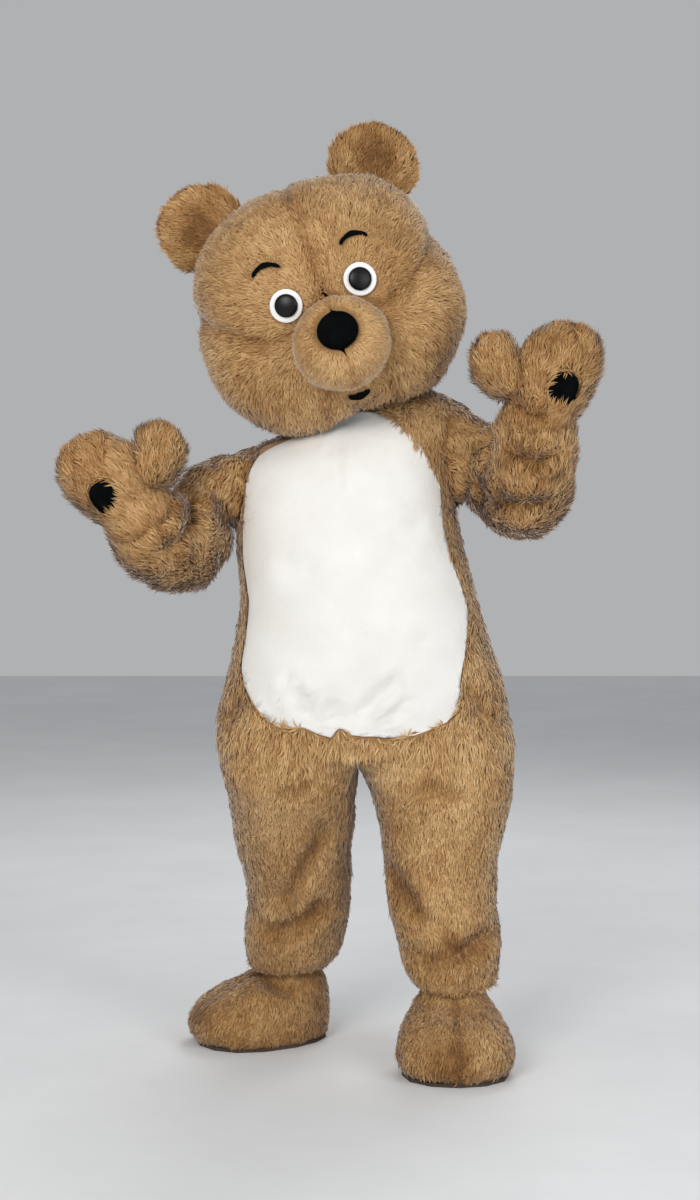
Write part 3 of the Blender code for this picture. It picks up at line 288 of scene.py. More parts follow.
# ---------------------------------------------------------------- helpers
WAVE_COUNT = 7
WAVE_RATES = (0.7, 1.5)         # shares of the main rate that the waves are drawn from
WAVE_GAIN = 1.4
WELDS_PER_METRE = 1e5
# What each noise of the costume is seeded with
SEEDS = {"folds": 5, "crease": 9, "swirl": (21, 22, 23), "lift": 31, "length": 41, "tone": 51,
         "fringe": 61, "toe": 71}


def unit(vectors):
    vectors = np.asarray(vectors, dtype=float)
    return vectors / np.maximum(np.linalg.norm(vectors, axis=-1, keepdims=True), TINY)


def smooth(low, high, value):
    """A soft step from 0 at low to 1 at high."""
    share = np.clip((np.asarray(value, dtype=float) - low) / (high - low), 0.0, 1.0)
    return share * share * (3 - 2 * share)


def bell(value, width):
    """1 where the value is 0, falling off to nothing over about twice the width."""
    return np.exp(-(value / width) ** 2)


def waves(points, wavelength, seed):
    """A soft, even noise between about -1 and 1: a sum of sine waves in seeded directions."""
    made = np.random.default_rng(seed)
    ways = unit(made.normal(size=(WAVE_COUNT, 3)))
    rates = 2 * math.pi / wavelength * made.uniform(*WAVE_RATES, WAVE_COUNT)
    phases = made.uniform(0, 2 * math.pi, WAVE_COUNT)
    return np.sin(points @ (ways * rates[:, None]).T + phases).sum(axis=1) * WAVE_GAIN / WAVE_COUNT


def welded(mesh):
    """A mesh's points and triangles with the points that lie together made one."""
    mesh.calc_loop_triangles()
    places = np.array([vert.co for vert in mesh.vertices], dtype=float)
    triangles = np.array([tri.vertices for tri in mesh.loop_triangles])
    cells = np.round(places * WELDS_PER_METRE)
    _, first, same = np.unique(cells, axis=0, return_index=True, return_inverse=True)
    return places[first], same.reshape(-1)[triangles]


def mesh_of(points, triangles):
    """A bmesh of the given points and triangles."""
    bm = bmesh.new()
    corners = [bm.verts.new(place) for place in points]
    for triangle in triangles.tolist():
        bm.faces.new([corners[k] for k in triangle])
    return bm


def triangle_facts(points, triangles):
    """Middle, way and area of each triangle."""
    corners = points[triangles]
    cross = np.cross(corners[:, 1] - corners[:, 0], corners[:, 2] - corners[:, 0])
    return corners.mean(axis=1), unit(cross), np.linalg.norm(cross, axis=1) / 2


# ---------------------------------------------------------------- the outer face of each wall
TRIM = ("belly_panel", "mitt_left_pad", "mitt_right_pad", "mouth", "brow_left", "brow_right",
        "eye_left_white", "eye_right_white", "eye_left_pupil", "eye_right_pupil", "nose")
RAY_COUNT = 12
RAY_SPREAD = 0.85       # share of the half sphere that the rays are spread over
RAY_LIFT = 0.0002
FACES_OUT = 0.75        # cosine past which a triangle counts as facing out
WALL_THICKNESS = 0.004
MATCH = 0.00006         # how exactly the two faces of a wall match its thickness

welds = {name: welded(item.data) for name, item in NODES.items()}
walls = [name for name in sorted(NODES) if name not in TRIM or name == "nose"]
all_points = np.concatenate([welds[name][0] for name in walls])
starts = np.cumsum([0] + [len(welds[name][0]) for name in walls])
all_triangles = np.concatenate([welds[name][1] + start for name, start in zip(walls, starts)])
costume_tree = BVHTree.FromPolygons(all_points.tolist(), all_triangles.tolist())

spread = np.arange(RAY_COUNT) + 0.5
ray_height = 1 - RAY_SPREAD * spread / RAY_COUNT
ray_turn = math.pi * (1 + math.sqrt(5)) * spread
ray_out = np.sqrt(1 - ray_height ** 2)
RAYS = np.column_stack((ray_out * np.cos(ray_turn), ray_out * np.sin(ray_turn), ray_height))


def covered(centres, normals, areas):
    """The share of a face's outlook that other walls block."""
    total = 0.0
    for centre, normal, area in zip(centres, normals, areas):
        turn = Vector((0, 0, 1)).rotation_difference(Vector(normal)).to_matrix()
        start = Vector(centre + normal * RAY_LIFT)
        hits = sum(costume_tree.ray_cast(start, turn @ Vector(ray))[0] is not None for ray in RAYS)
        total += area * hits / RAY_COUNT
    return total / areas.sum()


def wall_layers(points, triangles):
    """The two sides of a wall: each point of one lies exactly the thickness from its partner."""
    apart = np.linalg.norm(points[:, None] - points[None], axis=2)
    off = np.abs(apart - WALL_THICKNESS)
    partner = off.argmin(axis=1)
    sure = off[np.arange(len(points)), partner] < MATCH
    links = set()
    for triangle in triangles.tolist():
        for a, b in zip(triangle, triangle[1:] + triangle[:1]):
            links.add((min(a, b), max(a, b)))
    group = list(range(len(points)))

    def root(k):
        while group[k] != k:
            group[k] = group[group[k]]
            k = group[k]
        return k
    for a, b in links:
        if sure[a] and sure[b] and partner[a] != b:
            pair = (int(min(partner[a], partner[b])), int(max(partner[a], partner[b])))
            if pair in links and pair != (a, b):
                group[root(a)] = root(b)
    labels = np.array([root(k) for k in range(len(points))])
    found, counts = np.unique(labels, return_counts=True)
    return labels, found[np.argsort(-counts)][:2]


def outer_face(name):
    """Points and triangles of the side of a wall that faces out of the costume."""
    points, triangles = welds[name]
    centres, normals, areas = triangle_facts(points, triangles)
    if name in TRIM:
        keep = (normals * lying_ways(centres)).sum(axis=1) > FACES_OUT
    else:
        labels, layers = wall_layers(points, triangles)
        sides = [(labels[triangles] == layer).all(axis=1) for layer in layers]
        shares = [covered(centres[side], normals[side], areas[side]) for side in sides]
        keep = sides[int(np.argmin(shares))]
    used, renumbered = np.unique(triangles[keep], return_inverse=True)
    return points[used], renumbered.reshape(-1, 3)


def lying_ways(centres):
    """The way out of the wall that lies under each point of a laid-on piece."""
    below = np.array([costume_tree.find_nearest(Vector(centre))[0] for centre in centres])
    return unit(centres - below)


# ---------------------------------------------------------------- creases and folds
# Columns: pieces, front (-1) or back (1), points (x, z) along the crease, half width, depth
CREASES = (
    ("body belly", -1, ((-0.030, -0.010), (-0.027, -0.085), (-0.026, -0.150)), 0.012, 0.0071),
    ("body belly", -1, ((-0.136, -0.490), (-0.112, -0.538), (-0.070, -0.592)), 0.013, 0.0125),
    ("body belly", -1, ((-0.066, -0.520), (-0.044, -0.556), (-0.022, -0.600)), 0.010, 0.0105),
    ("body belly", -1, ((0.112, -0.490), (0.070, -0.530), (0.010, -0.592)), 0.012, 0.0155),
    ("body belly", -1, ((0.128, -0.540), (0.098, -0.572), (0.060, -0.602)), 0.010, 0.0095),
    ("body belly", -1, ((-0.150, -0.250), (-0.110, -0.285), (-0.060, -0.290)), 0.022, 0.0061),
    ("body belly", -1, ((0.150, -0.180), (0.110, -0.225), (0.070, -0.232)), 0.020, 0.0061),
    ("body belly", -1, ((0.165, -0.420), (0.120, -0.455), (0.085, -0.450)), 0.020, 0.0061),
    ("body", -1, ((0.225, -0.500), (0.262, -0.548), (0.268, -0.600)), 0.016, 0.0091),
    ("body", -1, ((-0.205, -0.520), (-0.240, -0.570), (-0.246, -0.620)), 0.015, 0.0078),
    ("body", 1, ((-0.150, -0.090), (-0.105, -0.150), (-0.070, -0.240)), 0.018, 0.0078),
    ("body", 1, ((0.160, -0.080), (0.120, -0.150), (0.092, -0.215)), 0.017, 0.0078),
    ("body", 1, ((-0.230, -0.480), (-0.160, -0.520), (-0.080, -0.515)), 0.020, 0.0078),
    ("body", 1, ((0.250, -0.510), (0.180, -0.545), (0.110, -0.530)), 0.018, 0.0072),
    ("body leg", 1, ((-0.170, -0.640), (-0.080, -0.672), (0.010, -0.660)), 0.018, 0.0078),
    ("body leg", 1, ((0.200, -0.650), (0.120, -0.676), (0.040, -0.662)), 0.018, 0.0078),
    ("leg", -1, ((-0.036, -0.800), (-0.094, -0.905), (-0.156, -1.022)), 0.018, 0.0120),
    ("leg", -1, ((-0.036, -0.975), (-0.080, -1.012), (-0.134, -1.047), (-0.190, -1.062)), 0.020, 0.0165),
    ("leg", -1, ((-0.070, -0.690), (-0.110, -0.728), (-0.160, -0.742)), 0.018, 0.0075),
    ("leg", -1, ((0.066, -0.870), (0.120, -0.958), (0.160, -1.010)), 0.018, 0.0128),
    ("leg", -1, ((0.178, -1.016), (0.222, -1.060), (0.262, -1.040), (0.308, -1.022)), 0.017, 0.0150),
    ("leg", -1, ((0.100, -1.068), (0.190, -1.078), (0.288, -1.068)), 0.015, 0.0105),
    ("leg", -1, ((0.130, -0.700), (0.180, -0.735), (0.240, -0.742)), 0.018, 0.0075),
    ("leg", 1, ((-0.210, -0.890), (-0.140, -0.925), (-0.070, -0.905)), 0.021, 0.0128),
    ("leg", 1, ((-0.200, -0.965), (-0.130, -0.992), (-0.060, -0.978)), 0.017, 0.0097),
    ("leg", 1, ((0.110, -0.905), (0.190, -0.935), (0.270, -0.915)), 0.021, 0.0128),
    ("leg", 1, ((0.120, -1.010), (0.200, -1.036), (0.290, -1.020)), 0.017, 0.0105),
    ("sleeve", -1, ((-0.368, -0.130), (-0.366, -0.170), (-0.352, -0.212)), 0.014, 0.0231),
    ("sleeve", -1, ((-0.345, -0.222), (-0.350, -0.240), (-0.362, -0.262)), 0.014, 0.0189),
    ("sleeve", -1, ((-0.300, -0.120), (-0.318, -0.180), (-0.310, -0.240)), 0.015, 0.0168),
    ("sleeve", -1, ((-0.255, -0.125), (-0.262, -0.170), (-0.250, -0.215)), 0.015, 0.0147),
    ("sleeve", -1, ((-0.400, -0.175), (-0.418, -0.215), (-0.446, -0.240)), 0.013, 0.0147),
    ("sleeve", -1, ((0.300, -0.066), (0.360, -0.080), (0.420, -0.068)), 0.014, 0.0209),
    ("sleeve", -1, ((0.330, -0.104), (0.380, -0.116), (0.430, -0.106)), 0.013, 0.0147),
    ("sleeve", -1, ((0.276, -0.150), (0.340, -0.166), (0.408, -0.155)), 0.015, 0.0199),
    ("sleeve", -1, ((0.240, -0.090), (0.262, -0.130), (0.262, -0.175)), 0.015, 0.0168),
    ("sleeve mitt", -1, ((0.312, 0.040), (0.348, 0.010), (0.386, 0.004)), 0.011, 0.0112),
    ("sleeve", 1, ((-0.300, -0.120), (-0.330, -0.180), (-0.326, -0.240)), 0.016, 0.0189),
    ("sleeve", 1, ((-0.380, -0.190), (-0.410, -0.240), (-0.400, -0.290)), 0.015, 0.0168),
    ("sleeve", 1, ((0.300, -0.080), (0.350, -0.110), (0.380, -0.160)), 0.016, 0.0189),
    ("sleeve", 1, ((0.340, -0.030), (0.400, -0.050), (0.430, -0.040)), 0.014, 0.0168),
    ("mitt", -1, ((-0.528, -0.040), (-0.537, -0.075), (-0.534, -0.110)), 0.009, 0.0100),
    ("mitt", -1, ((-0.481, -0.024), (-0.478, -0.055), (-0.473, -0.090)), 0.008, 0.0080),
    ("mitt", -1, ((0.386, 0.170), (0.390, 0.140), (0.398, 0.110)), 0.009, 0.0080),
    ("mitt", -1, ((0.430, 0.190), (0.436, 0.160), (0.436, 0.130)), 0.008, 0.0070),
    ("mitt", 1, ((-0.520, -0.030), (-0.505, -0.075), (-0.480, -0.110)), 0.009, 0.0070),
    ("mitt", 1, ((0.405, 0.180), (0.400, 0.130), (0.385, 0.085)), 0.009, 0.0070),
    ("boot", -1, ((-0.215, -1.160), (-0.160, -1.185), (-0.100, -1.200)), 0.013, 0.0105),
    ("boot", -1, ((0.228, -1.235), (0.226, -1.280), (0.224, -1.318)), 0.006, 0.0075),
)
CREASE_WANDER = 0.35    # share by which a crease's width comes and goes
CREASE_WANDER_LENGTH = 0.05
CREASE_NARROWEST = 0.5
CREASE_START = (-0.02, 0.25)    # places along a crease between which it comes in
CREASE_END = (1.02, 0.75)
CREASE_FACING = (-0.1, 0.35)    # how far the cloth turns to the crease's side
RIDGE_SHARE = 0.35      # height of the ridge beside a crease, as a share of the crease's depth
RIDGE_PLACE = 2.1       # distance of that ridge in half widths
UNDER_PANEL_SHARE = 0.35        # how much deeper the suit's front goes under the panel's creases
UNDER_PANEL_WIDTH = 2.4
SHADED_DEPTH = 0.016    # a crease this deep counts as 1 in the painted shade of the pile
# the most painted shade a point of the pile can get
DEEPEST_SHADE = 1.2
# Columns: piece, wavelength along the cloth's run, height of the folds
FOLDS = {
    "body": (0.16, 0.0022), "belly": (0.16, 0.0018), "sleeve": (0.052, 0.0085),
    "leg": (0.085, 0.0035), "mitt": (0.060, 0.0022), "boot": (0.060, 0.0020),
    "head": (0.11, 0.0018), "muzzle": (0.05, 0.0006), "ear": (0.05, 0.0010),
    "brow": (1.0, 0.0), "mouth": (1.0, 0.0),
}
FOLD_SQUEEZE = 0.33     # folds are this share as close across the cloth's run as along it
# Columns: pieces, depth and half width of the dip along their seams
SEAM_DIPS = {
    "head": (0.0060, 0.012), "muzzle": (0.0020, 0.006), "sleeve": (0.0040, 0.010),
    "mitt": (0.0020, 0.007), "boot": (0.0045, 0.010),
}
# painted shade along the dip of a seam
SEAM_SHADE = 0.55

HEAD_MIDDLE = np.array((-0.050, -0.012, 0.2514))
HEAD_ROLL = math.radians(-20)
HEAD_UP = np.array((math.sin(HEAD_ROLL), 0.0, math.cos(HEAD_ROLL)))
HEAD_SIDE = np.array((math.cos(HEAD_ROLL), 0.0, -math.sin(HEAD_ROLL)))
NOSE = np.array((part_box("nose")[0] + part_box("nose")[1]) / 2)
FACE_TO_BACK = (-0.02, 0.14)    # depths between which the head's cloth turns to hang down
CHIN_HEIGHTS = (-0.05, -0.17)
CHIN_HANG = 0.6         # how far it hangs down under the chin
CHEEK_PUFF = 0.018
CHEEK_SIDES = (0.10, 0.20)
CHEEK_HEIGHTS = (-0.22, -0.10)
CHEEK_EDGE = 0.035      # the cheek's puff dies out over this distance from its seams
MUZZLE_TUCK = 0.016     # how far the muzzle's open end goes into the head
MUZZLE_BACK = (0.07, 0.11)      # depths behind the nose
MUZZLE_EDGE = (0.010, 0.0)
EAR_HOLLOW = 0.018
EAR_BOWL_REACH = 0.40   # radius of the hollow as a share of the ear's mean width and height
EAR_BOWL_DROP = 0.010
EAR_BOWL_SIDE = (1.0, 0.15)
# painted shade in the middle of the ear's hollow
EAR_BOWL_SHADE = 0.75
EAR_SPREAD = 0.13       # an ear is this much wider at its foot
EAR_SPREAD_PLACES = (-0.5, 0.3)         # from -1 at its tip to 1 at its foot
EAR_SINK = 0.012        # how far the ear's foot goes into the head
EAR_RIM_CLOSE = 0.0042  # brings an ear's front and back together along its rim
EAR_RIM = 0.012

THUMB_PUFF = 0.0065
THUMB_FOOT_PUFF = 1.4   # how much fuller a thumb is at its seam
THUMB_FOOT = 0.030
BELLY_CORNER_TUCK = 0.009       # the panel's right top corner goes under the shoulder's pile
BELLY_CORNER_DEPTHS = (-0.062, -0.042)
BELLY_CORNER_SIDES = (-0.08, -0.11)
# Columns: middle, reach and height of the shoulder's puff
SHOULDER_PUFFS = (
    ((0.150, 0.020, 0.030), 0.14, 0.034),
    ((-0.170, 0.010, -0.040), 0.09, 0.010),
)
SHOULDER_CORE = 0.25    # share of the reach inside which a puff has its full height
SHOULDER_FACING = (-0.2, 0.5)
# The middle of the painted shade on each toe
TOE_SHADE_MIDDLES = {"right": (-0.330, 0.070, -1.215), "left": (0.205, -0.290, -1.250)}
BOOT_PATCH_RIM = (0.085, 0.030)
BOOT_PATCH_CHANGE = (0.05, 0.012)
BOOT_PATCH_SHADE = 0.55

COLLAR = np.array((0.020, 0.010, 0.030))
HIP_HEIGHT = -0.647     # where the legs are sewn to the body
HIP_CALM = 0.07         # the small folds die out this near to it
HIP_ZONE = (-0.590, -0.725)     # heights between which the cloth runs straight over the hips
HIP_BLEND = (0.02, 0.025)       # the zone starts this far outside its heights, and is full inside
HIP_SWELL = 0.006
HIP_GAP = (0.050, 0.030)        # cloth that is farther off than this is left where it is
CROTCH = 0.015          # x of the place between the legs
CROTCH_SIDES = (0.04, 0.12)

# Columns: shoulder, elbow, wrist and the way to the fingertips
ARMS = {
    "right": ((-0.230, 0.000, -0.100), (-0.322, -0.100, -0.300), (-0.412, -0.185, -0.185),
              (-0.60, -0.12, 0.79)),
    "left": ((0.215, 0.000, -0.070), (0.372, -0.165, -0.225), (0.366, -0.225, 0.005),
             (0.30, -0.10, 0.95)),
}
ELBOW_BEND = (0.3, 0.7)         # shares of the way to the wrist over which the cloth turns
THUMB_WAYS = {"right": (0.05, -0.15, 1.0), "left": (-0.25, -0.10, 1.0)}
ANKLES = {"right": (-0.140, 0.190, -1.10), "left": (0.220, -0.040, -1.10)}
ANKLE_DROP = -0.05      # a boot's pile runs down at least this steeply
BODY_FLARE = 0.35       # how far the pile leans out to the sides on its way down


def kind_of(name):
    return name.split("_")[0]


def side_of(name):
    return "left" if "left" in name else "right"


def line_distance(points, line):
    """Distance of each point from a chain of segments, and its place along the chain."""
    line = np.asarray(line, dtype=float)
    lengths = np.linalg.norm(np.diff(line, axis=0), axis=1)
    best = np.full(len(points), np.inf)
    place = np.zeros(len(points))
    for k, (a, b) in enumerate(zip(line, line[1:])):
        t = np.clip(((points - a) @ (b - a)) / lengths[k] ** 2, 0, 1)
        away = np.linalg.norm(points - (a + t[:, None] * (b - a)), axis=1)
        nearer = away < best
        best[nearer] = away[nearer]
        place[nearer] = (lengths[:k].sum() + t[nearer] * lengths[k]) / lengths.sum()
    return best, place


def run_of_head(points):
    """From the nose outwards on the face, and down at the back and under the chin."""
    low = smooth(*CHIN_HEIGHTS, (points - HEAD_MIDDLE) @ HEAD_UP) * CHIN_HANG
    behind = smooth(*FACE_TO_BACK, points[:, 1] - HEAD_MIDDLE[1])
    hanging = np.maximum(behind, low)[:, None]
    return unit(unit(points - NOSE) * (1 - hanging) - HEAD_UP * hanging)


def run_of_sleeve(side, points):
    """From the shoulder to the elbow, then on to the wrist."""
    shoulder, elbow, wrist, _ = (np.array(row) for row in ARMS[side])
    near = np.linalg.norm(points - shoulder, axis=1)
    far = np.linalg.norm(points - wrist, axis=1)
    share = smooth(*ELBOW_BEND, near / (near + far))[:, None]
    return unit(unit(elbow - shoulder) * (1 - share) + unit(wrist - elbow) * share)


def run_of_cloth(name, points):
    """The way the cloth hangs or is pulled, and its pile lies, at each point of a piece."""
    kind, side = kind_of(name), side_of(name)
    if kind == "sleeve":
        return run_of_sleeve(side, points)
    if kind == "mitt":
        way = THUMB_WAYS[side] if "thumb" in name else ARMS[side][3]
        return np.tile(unit(way), (len(points), 1))
    if kind == "boot":
        away = points - np.array(ANKLES[side])
        away[:, 2] = np.minimum(away[:, 2], ANKLE_DROP)
        return unit(away)
    if kind == "head":
        return run_of_head(points)
    if kind == "muzzle":
        return unit(points - NOSE)
    if kind == "ear":
        return unit(points - HEAD_MIDDLE)
    down = np.tile((0.0, 0.0, -1.0), (len(points), 1))
    down[:, 0] = points[:, 0] * BODY_FLARE
    return unit(down)


def small_folds(name, points):
    """The even, small folds of a piece, across the way its cloth runs."""
    wavelength, height = FOLDS[kind_of(name)]
    run = run_of_cloth(name, points)
    along = (points * run).sum(axis=1, keepdims=True)
    squeezed = points * FOLD_SQUEEZE + run * along * (1 - FOLD_SQUEEZE)
    out = height * waves(squeezed, wavelength, SEEDS["folds"])
    if kind_of(name) in ("body", "leg"):
        out *= smooth(0.0, HIP_CALM, np.abs(points[:, 2] - HIP_HEIGHT))
    return out


def creases_of(kind, points, normals):
    """The creases of the table: heights of the cloth, and the painted shade that darkens each point deep
    in a crease.
    """
    out = np.zeros(len(points))
    painted_shade = np.zeros(len(points))
    wander = 1 + CREASE_WANDER * waves(points, CREASE_WANDER_LENGTH, SEEDS["crease"])
    for pieces, facing, line, width, depth in CREASES:
        if kind not in pieces.split():
            continue
        away, place = line_distance(points[:, ::2], line)
        trough = bell(away, width * wander.clip(CREASE_NARROWEST))
        ridge = bell(away - RIDGE_PLACE * width, width)
        ends = smooth(*CREASE_START, place) * smooth(*CREASE_END, place)
        shown = smooth(*CREASE_FACING, normals[:, 1] * facing) * ends
        out += depth * shown * (RIDGE_SHARE * ridge - trough)
        if kind == "body" and "belly" in pieces:
            out -= UNDER_PANEL_SHARE * depth * shown * bell(away, UNDER_PANEL_WIDTH * width)
        # painted shade in the crease's trough
        painted_shade += shown * trough * depth / SHADED_DEPTH
    return out, painted_shade


def ear_bowl(points):
    """1 in the middle of an ear's hollow front, 0 outside the hollow."""
    low, high = points.min(axis=0), points.max(axis=0)
    middle = (low + high) / 2 - HEAD_UP * EAR_BOWL_DROP
    reach = EAR_BOWL_REACH * (high - low)[::2].mean()
    return smooth(*EAR_BOWL_SIDE, np.linalg.norm((points - middle)[:, ::2], axis=1) / reach)


def cheek_puff(points, seam_distance):
    """The cheeks stand out at the sides, away from their seams."""
    local = points - HEAD_MIDDLE
    puff = smooth(*CHEEK_SIDES, np.abs(local @ HEAD_SIDE)) * smooth(*CHEEK_HEIGHTS, local @ HEAD_UP)
    return CHEEK_PUFF * puff * (1 - bell(seam_distance, CHEEK_EDGE))


def shoulder_puffs(points, normals):
    """The cloth that stands up over the wearer's shoulders."""
    out = np.zeros(len(points))
    for middle, reach, height in SHOULDER_PUFFS:
        near = smooth(reach, reach * SHOULDER_CORE, np.linalg.norm(points - middle, axis=1))
        out += height * near * smooth(*SHOULDER_FACING, normals[:, 2])
    return out


def corner_tuck(points):
    """The belly panel's right top corner goes under."""
    corner = smooth(*BELLY_CORNER_DEPTHS, points[:, 1]) * smooth(*BELLY_CORNER_SIDES, points[:, 0])
    return BELLY_CORNER_TUCK * corner


def toe_shade(side, points):
    """1 where painted shade darkens the toe of a boot cover, 0 off it, with an uneven border."""
    away = np.linalg.norm(points - TOE_SHADE_MIDDLES[side], axis=1)
    uneven = BOOT_PATCH_CHANGE[1] * waves(points, BOOT_PATCH_CHANGE[0], SEEDS["toe"])
    return smooth(*BOOT_PATCH_RIM, away + uneven)


def fold_heights(name, points, normals, seam_distance):
    """How far the cloth stands out of its plain form, and the painted shade of each point in creases,
    seams, the ear's hollow and on the toes.
    """
    kind = kind_of(name)
    crease, painted_shade = creases_of(kind, points, normals)
    out = small_folds(name, points) + crease
    if kind == "belly":
        out -= corner_tuck(points)
    if kind == "ear":
        out -= EAR_RIM_CLOSE * bell(seam_distance, EAR_RIM)
        if name.endswith("front"):
            bowl = ear_bowl(points)
            out -= EAR_HOLLOW * bowl
            # painted shade in the ear's hollow
            painted_shade += EAR_BOWL_SHADE * bowl
    if name.startswith("head_cheek"):
        out += cheek_puff(points, seam_distance)
    if "thumb" in name:
        out += THUMB_PUFF * (1 + THUMB_FOOT_PUFF * bell(seam_distance, THUMB_FOOT))
    if kind in ("body", "sleeve"):
        out += shoulder_puffs(points, normals)
    if kind == "boot":
        # painted shade on the toe
        painted_shade += BOOT_PATCH_SHADE * toe_shade(side_of(name), points)
    if kind in SEAM_DIPS:
        depth, width = SEAM_DIPS[kind]
        dip = bell(seam_distance, width)
        out -= depth * dip
        # painted shade along the seam's dip
        painted_shade += SEAM_SHADE * dip
    return out, np.clip(painted_shade, 0, DEEPEST_SHADE)


HIP_WAYS = np.linspace(-math.pi, math.pi, 72, endpoint=False)
HIP_OUTSIDE = 0.6       # farther from the body's axis than any part of the hips


def hip_radii(height):
    """How far the costume reaches from its axis at a height, for each way round."""
    radii = []
    for turn in HIP_WAYS:
        way = Vector((math.cos(turn), math.sin(turn), 0.0))
        start = Vector((COLLAR[0], COLLAR[1], height)) + way * HIP_OUTSIDE
        place, _, _, distance = costume_tree.ray_cast(start, -way, HIP_OUTSIDE)
        radii.append(0.0 if place is None else HIP_OUTSIDE - distance)
    return np.array(radii)


HIP_RADII = [hip_radii(height) for height in HIP_ZONE]


def ironed_hip(points):
    """Draws the cloth straight between the hips and the thighs, away from the crotch."""
    flat = points[:, :2] - COLLAR[:2]
    radius = np.linalg.norm(flat, axis=1)
    turn = np.arctan2(flat[:, 1], flat[:, 0])
    upper, lower = (np.interp(turn, HIP_WAYS, radii, period=2 * math.pi) for radii in HIP_RADII)
    top, bottom = HIP_ZONE
    share = ((top - points[:, 2]) / (top - bottom)).clip(0, 1)
    straight = upper * (1 - share) + lower * share + HIP_SWELL * np.sin(math.pi * share)
    short = straight - radius
    outside, inside = HIP_BLEND
    zone = smooth(top + outside, top - inside, points[:, 2])
    zone *= smooth(bottom - outside, bottom + inside, points[:, 2])
    zone *= smooth(*CROTCH_SIDES, np.abs(points[:, 0] - CROTCH)) * smooth(*HIP_GAP, np.abs(short))
    moved = points.copy()
    moved[:, :2] += flat / radius[:, None] * (short * zone)[:, None]
    return moved


def widened_ear(points):
    """An ear that spreads towards its foot."""
    middle = (points.min(axis=0) + points.max(axis=0)) / 2
    foot_way = unit(unit(HEAD_MIDDLE - middle) * (1.0, 0.0, 1.0))
    side_way = np.array((foot_way[2], 0.0, -foot_way[0]))
    reach = np.abs((points - middle) @ side_way).max()
    down = (points - middle) @ foot_way / reach
    aside = (points - middle) @ side_way
    spread = EAR_SPREAD * aside * smooth(*EAR_SPREAD_PLACES, down)
    sunk_in = EAR_SINK * smooth(-1.0, 1.0, down)
    return points + side_way * spread[:, None] + foot_way * sunk_in[:, None]


def tucked_muzzle(points, seam_distance):
    """A muzzle whose open end goes on into the head."""
    open_end = smooth(*MUZZLE_BACK, points[:, 1] - NOSE[1]) * smooth(*MUZZLE_EDGE, seam_distance)
    moved = points.copy()
    moved[:, 1] += MUZZLE_TUCK * open_end
    return moved


def distance_to_border(mesh):
    """How far each point of an open mesh is from the mesh's edge."""
    corners = np.array([edge.vertices for edge in mesh.edges])
    uses = np.zeros(len(corners), dtype=int)
    sides = np.array([loop.edge_index for loop in mesh.loops])
    np.add.at(uses, sides, 1)
    places = np.array([vert.co for vert in mesh.vertices])
    border = np.unique(corners[uses == 1])
    tree = KDTree(max(len(border), 1))
    for k in border:
        tree.insert(places[k], int(k))
    tree.balance()
    return np.array([tree.find(place)[2] if len(border) else 1.0 for place in places])


# ---------------------------------------------------------------- skins
SKIN = 0.0016
ROUNDING = 2            # levels of subdivision
JOIN_ANGLES = (1.2, 2.2)        # between faces and between sides, up to which triangles are joined


def rounded_mesh(name):
    """The outer face of a wall as a fine, rounded mesh, and the object that holds it."""
    bm = mesh_of(*outer_face(name))
    bmesh.ops.join_triangles(
        bm, faces=list(bm.faces), angle_face_threshold=JOIN_ANGLES[0],
        angle_shape_threshold=JOIN_ANGLES[1], cmp_seam=False, cmp_sharp=False, cmp_uvs=False,
        cmp_vcols=False, cmp_materials=False)
    mesh = bpy.data.meshes.new(name + "_base")
    bm.to_mesh(mesh)
    bm.free()
    item = object_of(name + "_cloth", mesh)
    rounded = item.modifiers.new("rounded", "SUBSURF")
    rounded.boundary_smooth = "PRESERVE_CORNERS"
    rounded.levels = ROUNDING
    rounded.render_levels = ROUNDING
    bpy.context.view_layer.update()
    shown = item.evaluated_get(bpy.context.evaluated_depsgraph_get())
    fine = bpy.data.meshes.new_from_object(shown)
    fine.name = name + "_cloth"
    item.modifiers.clear()
    item.data = fine
    return item, fine


def skin_from(name, finish):
    """A thin cloth shell on a wall's outer face: rounded, then folded and creased."""
    item, fine = rounded_mesh(name)
    kind = kind_of(name)
    places = np.array([vert.co for vert in fine.vertices], dtype=float)
    normals = np.array([vert.vector for vert in fine.vertex_normals], dtype=float)
    seam_distance = distance_to_border(fine)
    out, painted_shade = fold_heights(name, places, normals, seam_distance)
    places = places + normals * out[:, None]
    if kind == "ear":
        places = widened_ear(places)
    elif kind in ("body", "belly", "leg"):
        places = ironed_hip(places)
    elif kind == "muzzle":
        places = tucked_muzzle(places, seam_distance)
    fine.vertices.foreach_set("co", places.ravel())
    fine.update()
    fine.materials.clear()
    fine.materials.append(MATERIALS[finish])
    for face in fine.polygons:
        face.use_smooth = True
    shell = item.modifiers.new("thickness", "SOLIDIFY")
    shell.thickness = SKIN
    shell.offset = -1.0
    return item, painted_shade


# ---------------------------------------------------------------- pile
# Columns: piece, share of the locks, length, lift from the cloth in degrees, width of a lock,
#          lean of its tone
PILES = {
    "body": (1.0, 0.023, 27, 0.0030, 0.00), "sleeve": (1.15, 0.027, 34, 0.0030, -0.04),
    "leg": (1.0, 0.018, 22, 0.0030, -0.08), "mitt": (1.4, 0.027, 42, 0.0028, -0.13),
    "boot": (1.15, 0.017, 25, 0.0028, -0.13), "head": (1.1, 0.024, 29, 0.0030, -0.08),
    "muzzle": (2.2, 0.015, 34, 0.0025, 0.00), "ear": (1.4, 0.021, 44, 0.0026, -0.14),
}
LOCKS_PER_SQUARE_METRE = 118000
BACK_SHARE = 0.58       # share of the locks on the body's, legs' and head's back pieces
CLUMP = 0.013           # size of the tufts that the locks draw together in
CELL_PRIMES = np.array((73856093, 19349663, 83492791))
SEED_STEP = 2654435
